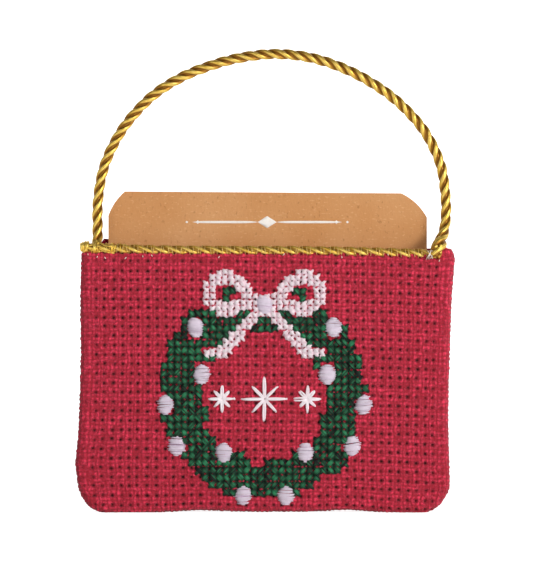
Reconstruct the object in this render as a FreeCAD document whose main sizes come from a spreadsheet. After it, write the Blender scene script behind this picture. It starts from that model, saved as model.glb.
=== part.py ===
import FreeCAD, Part
import math
import os
import Sketcher

# A sewn gift card pouch that stands upright: X runs along its width, -Y is the stitched front,
# +Z is up. The origin is on the surface it stands on, in the middle of its width and depth.
# All lengths are millimetres.

doc = FreeCAD.newDocument("gift_card_holder")
Vector = FreeCAD.Vector

# Driving dimensions
SIZES = [
    # The pouch and its cloth layers
    ("front_height", 71),
    ("pouch_depth", 10.5),
    ("cloth_wall", 1.4),
    ("bottom_corner_radius", 8),
    ("top_corner_radius", 2),
    ("front_roll_radius", 2),
    ("hem_height", 5),
    ("hem_thickness", 1.2),
    ("back_thickness", 1.35),
    ("back_rise", 3),
    ("back_corner_radius", 4),
    ("back_edge_radius", 0.9),
    ("interfacing_thickness", 0.3),
    ("lining_thickness", 0.4),
    ("lining_drop", 2),
    ("layer_gap", 0.1),
    # The kraft card
    ("card_width", 87.3),
    ("card_side_room", 7.35),
    ("card_height", 85.45),
    ("card_thickness", 0.5),
    ("card_top_fall", 0.5),
    ("card_corner_radius", 15.5),
    ("card_corner_drop", 6.6),
    ("card_left_cut", 4.5),
    ("card_right_cut", 7),
    ("card_bottom_radius", 3),
    ("card_offset", 0.85),
    ("card_gap", 0.25),
    # The gold cord: trim along the mouth, arched handle and its sewn ends
    ("trim_diameter", 2.5),
    ("trim_left_inset", 0.5),
    ("trim_right_inset", 6.7),
    ("trim_setback", 1.25),
    ("cord_diameter", 2.8),
    ("cord_sides", 12),
    ("cord_gap", 0.05),
    ("swing_gap", 0.4),
    ("bend_gap", 0.2),
    ("sewn_depth", 5),
    ("handle_side_inset", 1),
    # The stitched wreath with its bow, berries and stars
    ("stitch_gap", 0.3),
    ("wreath_height", 31),
    ("wreath_outer_radius", 27.2),
    ("ring_width", 9.9),
    ("wreath_thickness", 0.6),
    ("leaf_half_width", 2.2),
    ("leaf_root", 1),
    ("leaf_reach", 1.2),
    ("leaf_lean", 0.9),
    ("outer_leaves", 22),
    ("inner_leaves", 14),
    ("knot_inset", 1.6),
    ("bow_thickness", 0.7),
    ("knot_radius", 2.6),
    ("loop_length", 10.6),
    ("loop_radius", 6.3),
    ("loop_neck_radius", 1.6),
    ("loop_rise", 3.2),
    ("ribbon_width", 3.4),
    ("tail_length", 18.5),
    ("tail_root_radius", 1.5),
    ("tail_radius", 2.1),
    ("tail_spread", 42),
    ("berry_count", 12),
    ("berry_width", 4.8),
    ("berry_rise", 1.1),
    ("berry_crown", 0.55),
    ("berry_first_angle", 44),
    ("berry_outer_inset", 0.2),
    ("berry_inner_inset", 1),
    ("star_thickness", 0.5),
    ("star_points", 8),
    ("star_share", 0.39),
    ("side_star_share", 0.235),
    ("side_star_place", 0.72),
    ("ray_width", 1.3),
]

# The handle's route: each point is (x, height above the line about which the cord bends at its two
# sewn ends), chosen by hand along the arch
HANDLE_ROUTE = [
    (-45.6, 0.0),
    (-45.7, 8.6),
    (-44.0, 18.8),
    (-38.4, 29.8),
    (-28.2, 40.2),
    (-13.4, 46.7),
    (2.5, 49.5),
    (17.2, 47.2),
    (31.6, 40.2),
    (41.8, 30.4),
    (47.9, 19.5),
    (50.0, 8.6),
    (47.9, 0.0),
]
ARC_SHARE = 0.45

sheet = doc.addObject("Spreadsheet::Sheet", "Sizes")
for row, (alias, number) in enumerate(SIZES, start=1):
    sheet.set("A%d" % row, alias.replace("_", " "))
    sheet.set("B%d" % row, str(number))
    sheet.setAlias("B%d" % row, alias)
doc.recompute()

# Depth levels from the back of the pouch to its front, as expressions of the driving dimensions
BACK_FACE = "(Sizes.pouch_depth + Sizes.berry_rise) / 2"
SEAM_PLANE = "(%s - Sizes.back_thickness)" % BACK_FACE
FRONT_FACE = "(%s - Sizes.pouch_depth)" % BACK_FACE
WALL_INNER = "(%s + Sizes.cloth_wall)" % FRONT_FACE
HEM_INNER = "(%s + Sizes.hem_thickness)" % WALL_INNER
INTERFACING_INNER = "(%s + Sizes.interfacing_thickness)" % WALL_INNER
LINING_FRONT = "(%s + Sizes.layer_gap)" % INTERFACING_INNER
BACK_LINING_OUTER = "(%s - Sizes.layer_gap)" % SEAM_PLANE
BACK_LINING_INNER = "(%s - Sizes.lining_thickness)" % BACK_LINING_OUTER
CARD_BACK = "(%s - Sizes.card_gap)" % BACK_LINING_INNER
HANDLE_PLANE = "(%s + Sizes.cord_gap + Sizes.cord_diameter / 2)" % HEM_INNER
TRIM_PLANE = "(%s + Sizes.trim_setback)" % FRONT_FACE

# Half the pouch's width: the card with room to each side
HALF_WIDTH = "(Sizes.card_width / 2 + Sizes.card_side_room)"

# The handle's route is stretched so that its widest point keeps its place beside the pouch's side
ROUTE_STRETCH = "((%s - Sizes.handle_side_inset) / %s)" % (HALF_WIDTH, max(x for x, rise in HANDLE_ROUTE))

# Heights
HEM_BOTTOM = "(Sizes.front_height - Sizes.hem_height)"
LAYER_TOP = "(%s - Sizes.layer_gap)" % HEM_BOTTOM
LINING_FLOOR = "(Sizes.cloth_wall + Sizes.layer_gap)"
CARD_FLOOR = "(%s + Sizes.lining_thickness + Sizes.card_gap)" % LINING_FLOOR
BACK_TOP = "(Sizes.front_height + Sizes.back_rise)"
FOLD_CENTRE = "(Sizes.front_height - Sizes.front_roll_radius)"
TRIM_OVER_FOLD = "sqrt((Sizes.front_roll_radius + Sizes.cord_gap + Sizes.trim_diameter / 2) ^ 2" \
    " - (Sizes.front_roll_radius - Sizes.trim_setback) ^ 2)"
TRIM_HEIGHT = "(%s + %s)" % (FOLD_CENTRE, TRIM_OVER_FOLD)
TRIM_TOP = "(%s + Sizes.trim_diameter / 2)" % TRIM_HEIGHT
PIVOT_HEIGHT = "(max(%s; %s) + Sizes.swing_gap + Sizes.cord_diameter / 2)" % (BACK_TOP, TRIM_TOP)
STUB_TOP = "(%s - Sizes.cord_diameter / 2 - Sizes.bend_gap)" % PIVOT_HEIGHT

subparts = []


def value(expression):
    """The number that an expression of the driving dimensions gives."""
    return float(sheet.evalExpression(expression))


def bind(item, **expressions):
    """Tie named properties of an object to expressions of the driving dimensions."""
    for name, expression in expressions.items():
        item.setExpression(name, expression)


def locate(item, x=None, y=None, z=None):
    """Tie an object's place to expressions of the driving dimensions."""
    for axis, expression in (("x", x), ("y", y), ("z", z)):
        if expression is not None:
            item.setExpression(".Placement.Base.%s" % axis, expression)


def new_body(node, x=None, y=None, z=None):
    body = doc.addObject("PartDesign::Body", node)
    body.Label = node
    locate(body, x, y, z)
    subparts.append(body)
    return body


def origin_plane(body, role):
    return [item for item in body.Origin.OriginFeatures if item.Role == role][0]


def upright_sketch(body, name):
    """A sketch that faces the front: its X is the width, its Y the height."""
    sketch = body.newObject("Sketcher::SketchObject", name)
    sketch.AttachmentSupport = (origin_plane(body, "XZ_Plane"), [""])
    sketch.MapMode = "FlatFace"
    return sketch


def fix(sketch, expression, kind, *places):
    """Add a dimension to a sketch and tie it to an expression."""
    index = sketch.addConstraint(Sketcher.Constraint(kind, *places, value(expression)))
    sketch.setExpression("Constraints[%d]" % index, expression)


def fix_from_origin(sketch, geometry, end, axis, expression):
    """Set how far a point lies from the sketch's origin along one axis, either way."""
    number = value(expression)
    if number == 0:
        sketch.addConstraint(Sketcher.Constraint("PointOnObject", geometry, end, -1 if axis == "Y" else -2))
    elif number > 0:
        fix(sketch, expression, "Distance" + axis, -1, 1, geometry, end)
    else:
        fix(sketch, "-(%s)" % expression, "Distance" + axis, geometry, end, -1, 1)


def rounded_outline(sketch, left, right, bottom, top, bottom_radius, top_radius=None):
    """A rectangle with rounded bottom corners, and rounded top corners where a radius is given."""
    x0, x1, z0, z1 = (value(edge) for edge in (left, right, bottom, top))
    low = value(bottom_radius)
    high = value(top_radius) if top_radius else 0.0
    quarter = math.pi / 2

    def line(ax, az, bx, bz):
        return sketch.addGeometry(Part.LineSegment(Vector(ax, az, 0), Vector(bx, bz, 0)), False)

    def corner(x, z, radius, start):
        circle = Part.Circle(Vector(x, z, 0), Vector(0, 0, 1), radius)
        return sketch.addGeometry(Part.ArcOfCircle(circle, start, start + quarter), False)

    floor = line(x0 + low, z0, x1 - low, z0)
    right_foot = corner(x1 - low, z0 + low, low, -quarter)
    right_side = line(x1, z0 + low, x1, z1 - high)
    loop = [floor, right_foot, right_side]
    if top_radius:
        loop.append(corner(x1 - high, z1 - high, high, 0.0))
    lid = line(x1 - high, z1, x0 + high, z1)
    loop.append(lid)
    if top_radius:
        loop.append(corner(x0 + high, z1 - high, high, quarter))
    left_side = line(x0, z1 - high, x0, z0 + low)
    left_foot = corner(x0 + low, z0 + low, low, 2 * quarter)
    loop += [left_side, left_foot]
    for first, second in zip(loop, loop[1:] + loop[:1]):
        sharp = not top_radius and lid in (first, second)
        kind = "Coincident" if sharp else "Tangent"
        sketch.addConstraint(Sketcher.Constraint(kind, first, 2, second, 1))
    if top_radius:
        sketch.addConstraint(Sketcher.Constraint("Equal", loop[3], loop[5]))
        fix(sketch, top_radius, "Radius", loop[3])
    else:
        sketch.addConstraint(Sketcher.Constraint("Vertical", right_side))
        sketch.addConstraint(Sketcher.Constraint("Vertical", left_side))
        sketch.addConstraint(Sketcher.Constraint("Horizontal", lid))
    sketch.addConstraint(Sketcher.Constraint("Horizontal", floor))
    sketch.addConstraint(Sketcher.Constraint("Equal", right_foot, left_foot))
    fix(sketch, bottom_radius, "Radius", right_foot)
    fix_from_origin(sketch, right_side, 1, "X", right)
    fix_from_origin(sketch, left_side, 1, "X", left)
    fix_from_origin(sketch, floor, 1, "Y", bottom)
    fix_from_origin(sketch, lid, 1, "Y", top)


def circle_at(sketch, x, z, radius):
    """A circle whose centre and radius are expressions."""
    centre = Vector(value(x), value(z), 0)
    ring = sketch.addGeometry(Part.Circle(centre, Vector(0, 0, 1), value(radius)), False)
    fix(sketch, radius, "Radius", ring)
    fix_from_origin(sketch, ring, 3, "X", x)
    fix_from_origin(sketch, ring, 3, "Y", z)


def polygon(sketch, points):
    """A closed outline of straight lines through points that are pairs of expressions."""
    corners = [Vector(value(x), value(z), 0) for x, z in points]
    pairs = zip(corners, corners[1:] + corners[:1])
    lines = [sketch.addGeometry(Part.LineSegment(start, end), False) for start, end in pairs]
    for first, second in zip(lines, lines[1:] + lines[:1]):
        sketch.addConstraint(Sketcher.Constraint("Coincident", first, 2, second, 1))
    for line, (x, z) in zip(lines, points):
        fix_from_origin(sketch, line, 1, "X", x)
        fix_from_origin(sketch, line, 1, "Y", z)


def drop_between(sketch, ax, az, start_radius, bx, bz, end_radius):
    """A drop: an arc about each of two points with its own radius, joined by tangent lines."""
    start = Vector(value(ax), value(az), 0)
    end = Vector(value(bx), value(bz), 0)
    first_size = value(start_radius)
    last_size = value(end_radius)
    along = math.atan2(end.y - start.y, end.x - start.x)
    turn = math.acos((first_size - last_size) / (end - start).Length)
    right = Vector(math.cos(along - turn), math.sin(along - turn), 0)
    left = Vector(math.cos(along + turn), math.sin(along + turn), 0)
    up = Vector(0, 0, 1)
    parts = [
        Part.LineSegment(start + right * first_size, end + right * last_size),
        Part.ArcOfCircle(Part.Circle(end, up, last_size), along - turn, along + turn),
        Part.LineSegment(end + left * last_size, start + left * first_size),
        Part.ArcOfCircle(Part.Circle(start, up, first_size), along + turn, along + 2 * math.pi - turn),
    ]
    loop = [sketch.addGeometry(part, False) for part in parts]
    for first, second in zip(loop, loop[1:] + loop[:1]):
        sketch.addConstraint(Sketcher.Constraint("Tangent", first, 2, second, 1))
    fix(sketch, start_radius, "Radius", loop[3])
    fix(sketch, end_radius, "Radius", loop[1])
    fix_from_origin(sketch, loop[3], 3, "X", ax)
    fix_from_origin(sketch, loop[3], 3, "Y", az)
    fix_from_origin(sketch, loop[1], 3, "X", bx)
    fix_from_origin(sketch, loop[1], 3, "Y", bz)


def pad(body, sketch, length, name):
    """Thicken a sketch towards the front."""
    feature = body.newObject("PartDesign::Pad", name)
    feature.Profile = sketch
    bind(feature, Length=length)
    doc.recompute()
    return feature


def pocket(body, sketch, depth, name):
    """Cut a sketch's outline towards the front, and make sure that it takes material away."""
    before = body.Shape.Volume
    feature = body.newObject("PartDesign::Pocket", name)
    feature.Profile = sketch
    feature.Reversed = True
    bind(feature, Length=depth)
    doc.recompute()
    if not body.Shape.Volume < before - 0.001:
        raise RuntimeError(name + " cuts nothing")
    return feature


def fillet(body, feature, edges, radius, name):
    rounding = body.newObject("PartDesign::Fillet", name)
    rounding.Base = (feature, edges)
    bind(rounding, Radius=radius)
    doc.recompute()
    return rounding


def edges_where(feature, test):
    """Names of the edges whose every end and middle point passes a test."""
    names = []
    for number, edge in enumerate(feature.Shape.Edges, start=1):
        middle = edge.valueAt((edge.FirstParameter + edge.LastParameter) / 2)
        points = [vertex.Point for vertex in edge.Vertexes] + [middle]
        if all(test(point) for point in points):
            names.append("Edge%d" % number)
    return names


def near(number, target):
    return abs(number - target) < 0.001


def inset_outline(sketch, inset, bottom, top):
    """The pouch's own outline, drawn in by an inset, with a level top."""
    side = "(%s - %s)" % (HALF_WIDTH, inset)
    radius = "(Sizes.bottom_corner_radius - %s)" % inset
    rounded_outline(sketch, "-" + side, side, bottom, top, radius)


def front_panel():
    """Stitched cloth turned round the sides and the bottom, with its top edge folded in as a hem."""
    body = new_body("front_panel", y=SEAM_PLANE)
    outline = upright_sketch(body, "front_outline")
    rounded_outline(outline, "-" + HALF_WIDTH, HALF_WIDTH, "0", "Sizes.front_height",
                    "Sizes.bottom_corner_radius", "Sizes.top_corner_radius")
    depth = "%s - %s" % (SEAM_PLANE, FRONT_FACE)
    block = pad(body, outline, depth, "front_block")
    face = -value(depth)
    rolled = edges_where(block, lambda point: near(point.y, face))
    fillet(body, block, rolled, "Sizes.front_roll_radius", "rolled_edges")
    mouth = upright_sketch(body, "mouth_cavity")
    over = "(Sizes.front_height + Sizes.hem_height)"
    inset_outline(mouth, "Sizes.cloth_wall", "Sizes.cloth_wall", over)
    pocket(body, mouth, "%s - %s" % (SEAM_PLANE, HEM_INNER), "mouth_opening")
    below = upright_sketch(body, "cavity_below_hem")
    inset_outline(below, "Sizes.cloth_wall", "Sizes.cloth_wall", HEM_BOTTOM)
    pocket(body, below, "%s - %s" % (SEAM_PLANE, WALL_INNER), "cavity")


def back_panel():
    """Velvet back, a little taller than the front, with a soft outer edge."""
    body = new_body("back_panel", y=BACK_FACE)
    outline = upright_sketch(body, "back_outline")
    rounded_outline(outline, "-" + HALF_WIDTH, HALF_WIDTH, "0", BACK_TOP,
                    "Sizes.bottom_corner_radius", "Sizes.back_corner_radius")
    sheet_pad = pad(body, outline, "Sizes.back_thickness", "back_sheet")
    rim = edges_where(sheet_pad, lambda point: near(point.y, 0))
    fillet(body, sheet_pad, rim, "min(Sizes.back_edge_radius; 0.8 * Sizes.back_thickness)", "soft_rim")


def front_interfacing():
    """Thin white backing that lies against the inside of the front cloth, below the hem."""
    body = new_body("front_interfacing", y=INTERFACING_INNER)
    outline = upright_sketch(body, "interfacing_outline")
    inset_outline(outline, "(Sizes.cloth_wall + Sizes.layer_gap)", LINING_FLOOR, LAYER_TOP)
    pad(body, outline, "Sizes.interfacing_thickness", "interfacing_sheet")


def front_lining():
    """Lining tray: a front sheet with sides and a floor, which the card stands on."""
    depth = "(%s - Sizes.layer_gap - %s)" % (BACK_LINING_INNER, LINING_FRONT)
    body = new_body("front_lining", y="%s - Sizes.layer_gap" % BACK_LINING_INNER)
    outline = upright_sketch(body, "lining_outline")
    inset_outline(outline, "(Sizes.cloth_wall + Sizes.layer_gap)", LINING_FLOOR, LAYER_TOP)
    pad(body, outline, depth, "lining_block")
    hollow = upright_sketch(body, "lining_hollow")
    inset = "(Sizes.cloth_wall + Sizes.layer_gap + Sizes.lining_thickness)"
    inset_outline(hollow, inset, inset, "(%s + Sizes.hem_height)" % LAYER_TOP)
    pocket(body, hollow, "%s - Sizes.lining_thickness" % depth, "lining_pocket")


def back_lining():
    """Flat lining sheet in front of the back panel."""
    body = new_body("back_lining", y=BACK_LINING_OUTER)
    outline = upright_sketch(body, "back_lining_outline")
    inset_outline(outline, "(Sizes.cloth_wall + Sizes.layer_gap)", LINING_FLOOR,
                  "(%s - Sizes.lining_drop)" % BACK_TOP)
    pad(body, outline, "Sizes.lining_thickness", "back_lining_sheet")


def card_insert():
    """Kraft board card, leaning on the back lining: its top falls a little to the right and its two top
    corners are cut along shallow arcs."""
    body = new_body("card_insert", x="Sizes.card_offset", y=CARD_BACK, z=CARD_FLOOR)
    outline = upright_sketch(body, "card_outline")
    half, low = value("Sizes.card_width / 2"), value("Sizes.card_bottom_radius")
    right_cut, left_cut = value("Sizes.card_right_cut"), value("Sizes.card_left_cut")
    left_top, right_top = value("Sizes.card_height"), value("Sizes.card_height - Sizes.card_top_fall")
    drop = value("Sizes.card_corner_drop")
    quarter = math.pi / 2

    def line(ax, az, bx, bz):
        return outline.addGeometry(Part.LineSegment(Vector(ax, az, 0), Vector(bx, bz, 0)), False)

    def foot(x, start):
        circle = Part.Circle(Vector(x, low, 0), Vector(0, 0, 1), low)
        return outline.addGeometry(Part.ArcOfCircle(circle, start, start + quarter), False)

    def cut_corner(start, end):
        chord = end - start
        out = Vector(chord.y, -chord.x, 0) / chord.Length
        radius = value("Sizes.card_corner_radius")
        rise = radius - math.sqrt(radius ** 2 - (chord.Length / 2) ** 2)
        return outline.addGeometry(Part.Arc(start, (start + end) / 2 + out * rise, end), False)

    floor = line(-half + low, 0, half - low, 0)
    right_foot = foot(half - low, -quarter)
    right_side = line(half, low, half, right_top - drop)
    right_corner = cut_corner(Vector(half, right_top - drop, 0), Vector(half - right_cut, right_top, 0))
    lid = line(half - right_cut, right_top, -half + left_cut, left_top)
    left_corner = cut_corner(Vector(-half + left_cut, left_top, 0), Vector(-half, left_top - drop, 0))
    left_side = line(-half, left_top - drop, -half, low)
    left_foot = foot(-half + low, 2 * quarter)
    loop = [floor, right_foot, right_side, right_corner, lid, left_corner, left_side, left_foot]
    for first, second in zip(loop, loop[1:] + loop[:1]):
        kind = "Tangent" if right_foot in (first, second) or left_foot in (first, second) else "Coincident"
        outline.addConstraint(Sketcher.Constraint(kind, first, 2, second, 1))
    outline.addConstraint(Sketcher.Constraint("Horizontal", floor))
    outline.addConstraint(Sketcher.Constraint("Vertical", right_side))
    outline.addConstraint(Sketcher.Constraint("Vertical", left_side))
    outline.addConstraint(Sketcher.Constraint("Equal", right_foot, left_foot))
    outline.addConstraint(Sketcher.Constraint("Equal", right_corner, left_corner))
    fix(outline, "Sizes.card_bottom_radius", "Radius", right_foot)
    fix(outline, "Sizes.card_corner_radius", "Radius", right_corner)
    fix_from_origin(outline, floor, 1, "Y", "0")
    fix_from_origin(outline, right_side, 1, "X", "Sizes.card_width / 2")
    fix_from_origin(outline, left_side, 1, "X", "-Sizes.card_width / 2")
    fix_from_origin(outline, right_side, 2, "Y", "Sizes.card_height - Sizes.card_top_fall - Sizes.card_corner_drop")
    fix_from_origin(outline, left_side, 1, "Y", "Sizes.card_height - Sizes.card_corner_drop")
    fix_from_origin(outline, lid, 1, "X", "Sizes.card_width / 2 - Sizes.card_right_cut")
    fix_from_origin(outline, lid, 1, "Y", "Sizes.card_height - Sizes.card_top_fall")
    fix_from_origin(outline, lid, 2, "X", "-Sizes.card_width / 2 + Sizes.card_left_cut")
    fix_from_origin(outline, lid, 2, "Y", "Sizes.card_height")
    pad(body, outline, "Sizes.card_thickness", "card_board")


def mouth_trim_cord():
    """Gold cord lying along the fold of the mouth, with rounded cut ends."""
    body = new_body("mouth_trim_cord", y=TRIM_PLANE, z=TRIM_HEIGHT)
    profile = upright_sketch(body, "trim_profile")
    radius = value("Sizes.trim_diameter / 2")
    left_end_x = "(Sizes.trim_left_inset - %s)" % HALF_WIDTH
    right_end_x = "(%s - Sizes.trim_right_inset)" % HALF_WIDTH
    left = value(left_end_x)
    right = value(right_end_x)
    quarter = math.pi / 2
    up = Vector(0, 0, 1)
    parts = [
        Part.LineSegment(Vector(left, 0, 0), Vector(right, 0, 0)),
        Part.ArcOfCircle(Part.Circle(Vector(right - radius, 0, 0), up, radius), 0, quarter),
        Part.LineSegment(Vector(right - radius, radius, 0), Vector(left + radius, radius, 0)),
        Part.ArcOfCircle(Part.Circle(Vector(left + radius, 0, 0), up, radius), quarter, 2 * quarter),
    ]
    axis, right_end, side, left_end = (profile.addGeometry(part, False) for part in parts)
    profile.addConstraint(Sketcher.Constraint("Coincident", axis, 2, right_end, 1))
    profile.addConstraint(Sketcher.Constraint("Tangent", right_end, 2, side, 1))
    profile.addConstraint(Sketcher.Constraint("Tangent", side, 2, left_end, 1))
    profile.addConstraint(Sketcher.Constraint("Coincident", left_end, 2, axis, 1))
    profile.addConstraint(Sketcher.Constraint("PointOnObject", axis, 1, -1))
    profile.addConstraint(Sketcher.Constraint("PointOnObject", axis, 2, -1))
    profile.addConstraint(Sketcher.Constraint("PointOnObject", right_end, 3, -1))
    profile.addConstraint(Sketcher.Constraint("PointOnObject", left_end, 3, -1))
    fix(profile, "Sizes.trim_diameter / 2", "Radius", right_end)
    fix_from_origin(profile, axis, 1, "X", left_end_x)
    fix_from_origin(profile, axis, 2, "X", right_end_x)
    turned = body.newObject("PartDesign::Revolution", "trim_cord")
    turned.Profile = profile
    turned.ReferenceAxis = (profile, ["H_Axis"])
    turned.Angle = 360


def route_edges(points):
    """Straight runs joined by tangent arcs, each arc as large as its two runs allow."""
    edges = []
    radii = []
    last = points[0]
    for before, corner, after in zip(points, points[1:], points[2:]):
        inward = before - corner
        outward = after - corner
        cut = ARC_SHARE * min(inward.Length, outward.Length)
        inward.normalize()
        outward.normalize()
        turn = math.pi - inward.getAngle(outward)
        radius = cut / math.tan(turn / 2)
        radii.append(radius)
        middle = inward + outward
        middle.normalize()
        start = corner + inward * cut
        end = corner + outward * cut
        through = corner + middle * (math.hypot(radius, cut) - radius)
        edges.append(Part.LineSegment(last, start).toShape())
        edges.append(Part.Arc(start, through, end).toShape())
        last = end
    edges.append(Part.LineSegment(last, points[-1]).toShape())
    return edges, radii


def handle_cord():
    """Free arch of the handle: a many-sided tube along the route, with round ends where it bends."""
    stretch = value(ROUTE_STRETCH)
    points = [Vector(x * stretch, 0, rise) for x, rise in HANDLE_ROUTE]
    edges, radii = route_edges(points)
    spine = doc.addObject("Part::Feature", "handle_route")
    spine.Shape = Part.Wire(edges)
    section = doc.addObject("Part::RegularPolygon", "handle_section")
    bind(section, Polygon="Sizes.cord_sides", Circumradius="Sizes.cord_diameter / 2")
    leaving = points[1] - points[0]
    section.Placement = FreeCAD.Placement(points[0], FreeCAD.Rotation(Vector(0, 0, 1), leaving))
    tube = doc.addObject("Part::Sweep", "handle_tube")
    tube.Sections = [section]
    tube.Spine = (spine, ["Edge%d" % number for number in range(1, len(edges) + 1)])
    tube.Solid = True
    ends = []
    for name, foot, neighbour in (("left", points[0], points[1]), ("right", points[-1], points[-2])):
        ball = doc.addObject("Part::Sphere", "handle_ball_" + name)
        bind(ball, Radius="Sizes.cord_diameter / 2 * cos(180 / Sizes.cord_sides)")
        ball.Angle1 = -90
        ball.Angle2 = 0
        ball.Placement = FreeCAD.Placement(foot, FreeCAD.Rotation(Vector(0, 0, 1), neighbour - foot))
        ends.append(ball)
    arch = doc.addObject("Part::MultiFuse", "handle_cord")
    arch.Label = "handle_cord"
    arch.Shapes = [tube] + ends
    arch.Refine = True
    locate(arch, y=HANDLE_PLANE, z=PIVOT_HEIGHT)
    subparts.append(arch)
    doc.recompute()
    radius = value("Sizes.cord_diameter / 2")
    sides = value("Sizes.cord_sides")
    area = sides / 2 * radius ** 2 * math.sin(2 * math.pi / sides)
    ball_radius = radius * math.cos(math.pi / sides)
    length = spine.Shape.Length
    print("handle route length %.1f mm, arc radii" % length, ["%.1f" % item for item in radii])
    expected = area * length + 4 / 3 * math.pi * ball_radius ** 3
    print("handle volume over section times length: %.4f" % (arch.Shape.Volume / expected))


def handle_end(node, foot_x):
    """A sewn end of the handle's cord, standing behind the hem and cut level just below the bend."""
    stub = doc.addObject("Part::Cylinder", node)
    stub.Label = node
    bottom = "(Sizes.front_height - Sizes.sewn_depth)"
    bind(stub, Radius="Sizes.cord_diameter / 2", Height="%s - %s" % (STUB_TOP, bottom))
    locate(stub, "%s * %s" % (foot_x, ROUTE_STRETCH), HANDLE_PLANE, bottom)
    subparts.append(stub)


# The bow's shapes, as expressions about its knot, which sits just inside the wreath's outer edge: loops
# rise to each side and widen outwards, tails spread below
KNOT_REACH = "(Sizes.wreath_outer_radius - Sizes.knot_inset)"
RING_INNER = "(Sizes.wreath_outer_radius - Sizes.ring_width)"
STAR_ROOM = "(%s - Sizes.leaf_reach)" % RING_INNER
LOOP_START_X = "Sizes.knot_radius"
LOOP_START_Z = "0.3 * Sizes.loop_rise"
LOOP_END_X = "Sizes.loop_length"
LOOP_END_Z = "Sizes.loop_rise"
HOLE_START_X = "(%s + %s) / 2" % (LOOP_START_X, LOOP_END_X)
HOLE_START_Z = "(%s + %s) / 2" % (LOOP_START_Z, LOOP_END_Z)
HOLE_RADIUS = "(Sizes.loop_radius - Sizes.ribbon_width)"
TAIL_END_X = "Sizes.tail_length * sin(Sizes.tail_spread)"
TAIL_END_Z = "-Sizes.tail_length * cos(Sizes.tail_spread)"


def bow_slots(body, feature_of, depth, drop, grow, prefix):
    """Add or cut the bow's knot, loops and tails in a body, each grown by a margin."""
    features = []
    knot = upright_sketch(body, prefix + "_knot_outline")
    circle_at(knot, "0", drop, "(Sizes.knot_radius + %s)" % grow)
    feature_of(body, knot, depth, prefix + "_knot")
    loop = upright_sketch(body, prefix + "_loop_outline")
    drop_between(loop, LOOP_START_X, "(%s + %s)" % (drop, LOOP_START_Z), "(Sizes.loop_neck_radius + %s)" % grow,
                 LOOP_END_X, "(%s + %s)" % (drop, LOOP_END_Z), "(Sizes.loop_radius + %s)" % grow)
    features.append(feature_of(body, loop, depth, prefix + "_loop"))
    tail = upright_sketch(body, prefix + "_tail_outline")
    drop_between(tail, "0.1", "(%s - 0.1)" % drop, "(Sizes.tail_root_radius + %s)" % grow,
                 TAIL_END_X, "(%s + %s)" % (drop, TAIL_END_Z), "(Sizes.tail_radius + %s)" % grow)
    features.append(feature_of(body, tail, depth, prefix + "_tail"))
    mirrored(body, features, prefix + "_other_half")


def mirrored(body, features, name):
    """Repeat features on the other side of the middle."""
    copy = body.newObject("PartDesign::Mirrored", name)
    copy.Originals = features
    copy.MirrorPlane = (origin_plane(body, "YZ_Plane"), [""])
    body.Tip = copy
    doc.recompute()
    return copy


def around(body, feature, sketch, count, name):
    """Repeat a feature round the middle of its sketch."""
    ring = body.newObject("PartDesign::PolarPattern", name)
    ring.Originals = [feature]
    ring.Axis = (sketch, ["N_Axis"])
    ring.Angle = 360
    bind(ring, Occurrences=count)
    body.Tip = ring
    doc.recompute()


def berry_places():
    """Each berry's place about the wreath's centre: two near its outer edge for each one near its inner."""
    count = int(value("Sizes.berry_count"))
    places = []
    for number in range(count):
        angle = "(Sizes.berry_first_angle + %d * (360 - 2 * Sizes.berry_first_angle) / (Sizes.berry_count - 1))"
        turn = angle % number
        outer = "(Sizes.wreath_outer_radius - Sizes.berry_outer_inset)"
        inner = "(%s + Sizes.berry_inner_inset)" % RING_INNER
        reach = inner if number % 3 == 1 else outer
        places.append(("%s * sin(%s)" % (reach, turn), "%s * cos(%s)" % (reach, turn)))
    return places


def wreath_stitching():
    """Green stitched ring with leafy edges, left out under the bow and the berries."""
    body = new_body("wreath_stitching", y=FRONT_FACE, z="Sizes.wreath_height")
    ring = upright_sketch(body, "ring_outline")
    circle_at(ring, "0", "0", "Sizes.wreath_outer_radius")
    circle_at(ring, "0", "0", RING_INNER)
    pad(body, ring, "Sizes.wreath_thickness", "ring")
    edges = (
        ("outer", "Sizes.wreath_outer_radius", 1, "Sizes.outer_leaves"),
        ("inner", RING_INNER, -1, "Sizes.inner_leaves"),
    )
    for name, edge, way, count in edges:
        leaf = upright_sketch(body, name + "_leaf_outline")
        root = "(%s - %d * Sizes.leaf_root)" % (edge, way)
        tip = "(%s + %d * Sizes.leaf_reach)" % (edge, way)
        polygon(leaf, [
            (root, "-Sizes.leaf_half_width"),
            (tip, "Sizes.leaf_lean"),
            (root, "Sizes.leaf_half_width"),
        ])
        feature = pad(body, leaf, "Sizes.wreath_thickness", name + "_leaf")
        around(body, feature, leaf, count, name + "_leaves_round")
    bow_slots(body, pocket, "Sizes.wreath_thickness", KNOT_REACH,
              "Sizes.stitch_gap", "room_for_bow")
    room = upright_sketch(body, "room_for_berries")
    for x, z in berry_places():
        circle_at(room, x, z, "(Sizes.berry_width / 2 + Sizes.stitch_gap)")
    pocket(body, room, "Sizes.wreath_thickness", "berry_room")


def bow_stitching():
    """White stitched bow: a knot, two open loops and two tails."""
    body = new_body("bow_stitching", y=FRONT_FACE, z="Sizes.wreath_height + " + KNOT_REACH)
    bow_slots(body, pad, "Sizes.bow_thickness", "0", "0", "bow")
    hole = upright_sketch(body, "loop_hole_outline")
    drop_between(hole, HOLE_START_X, HOLE_START_Z, "0.2 * " + HOLE_RADIUS, LOOP_END_X, LOOP_END_Z, HOLE_RADIUS)
    cut = pocket(body, hole, "Sizes.bow_thickness", "loop_hole")
    mirrored(body, [cut], "other_loop_hole")


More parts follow.
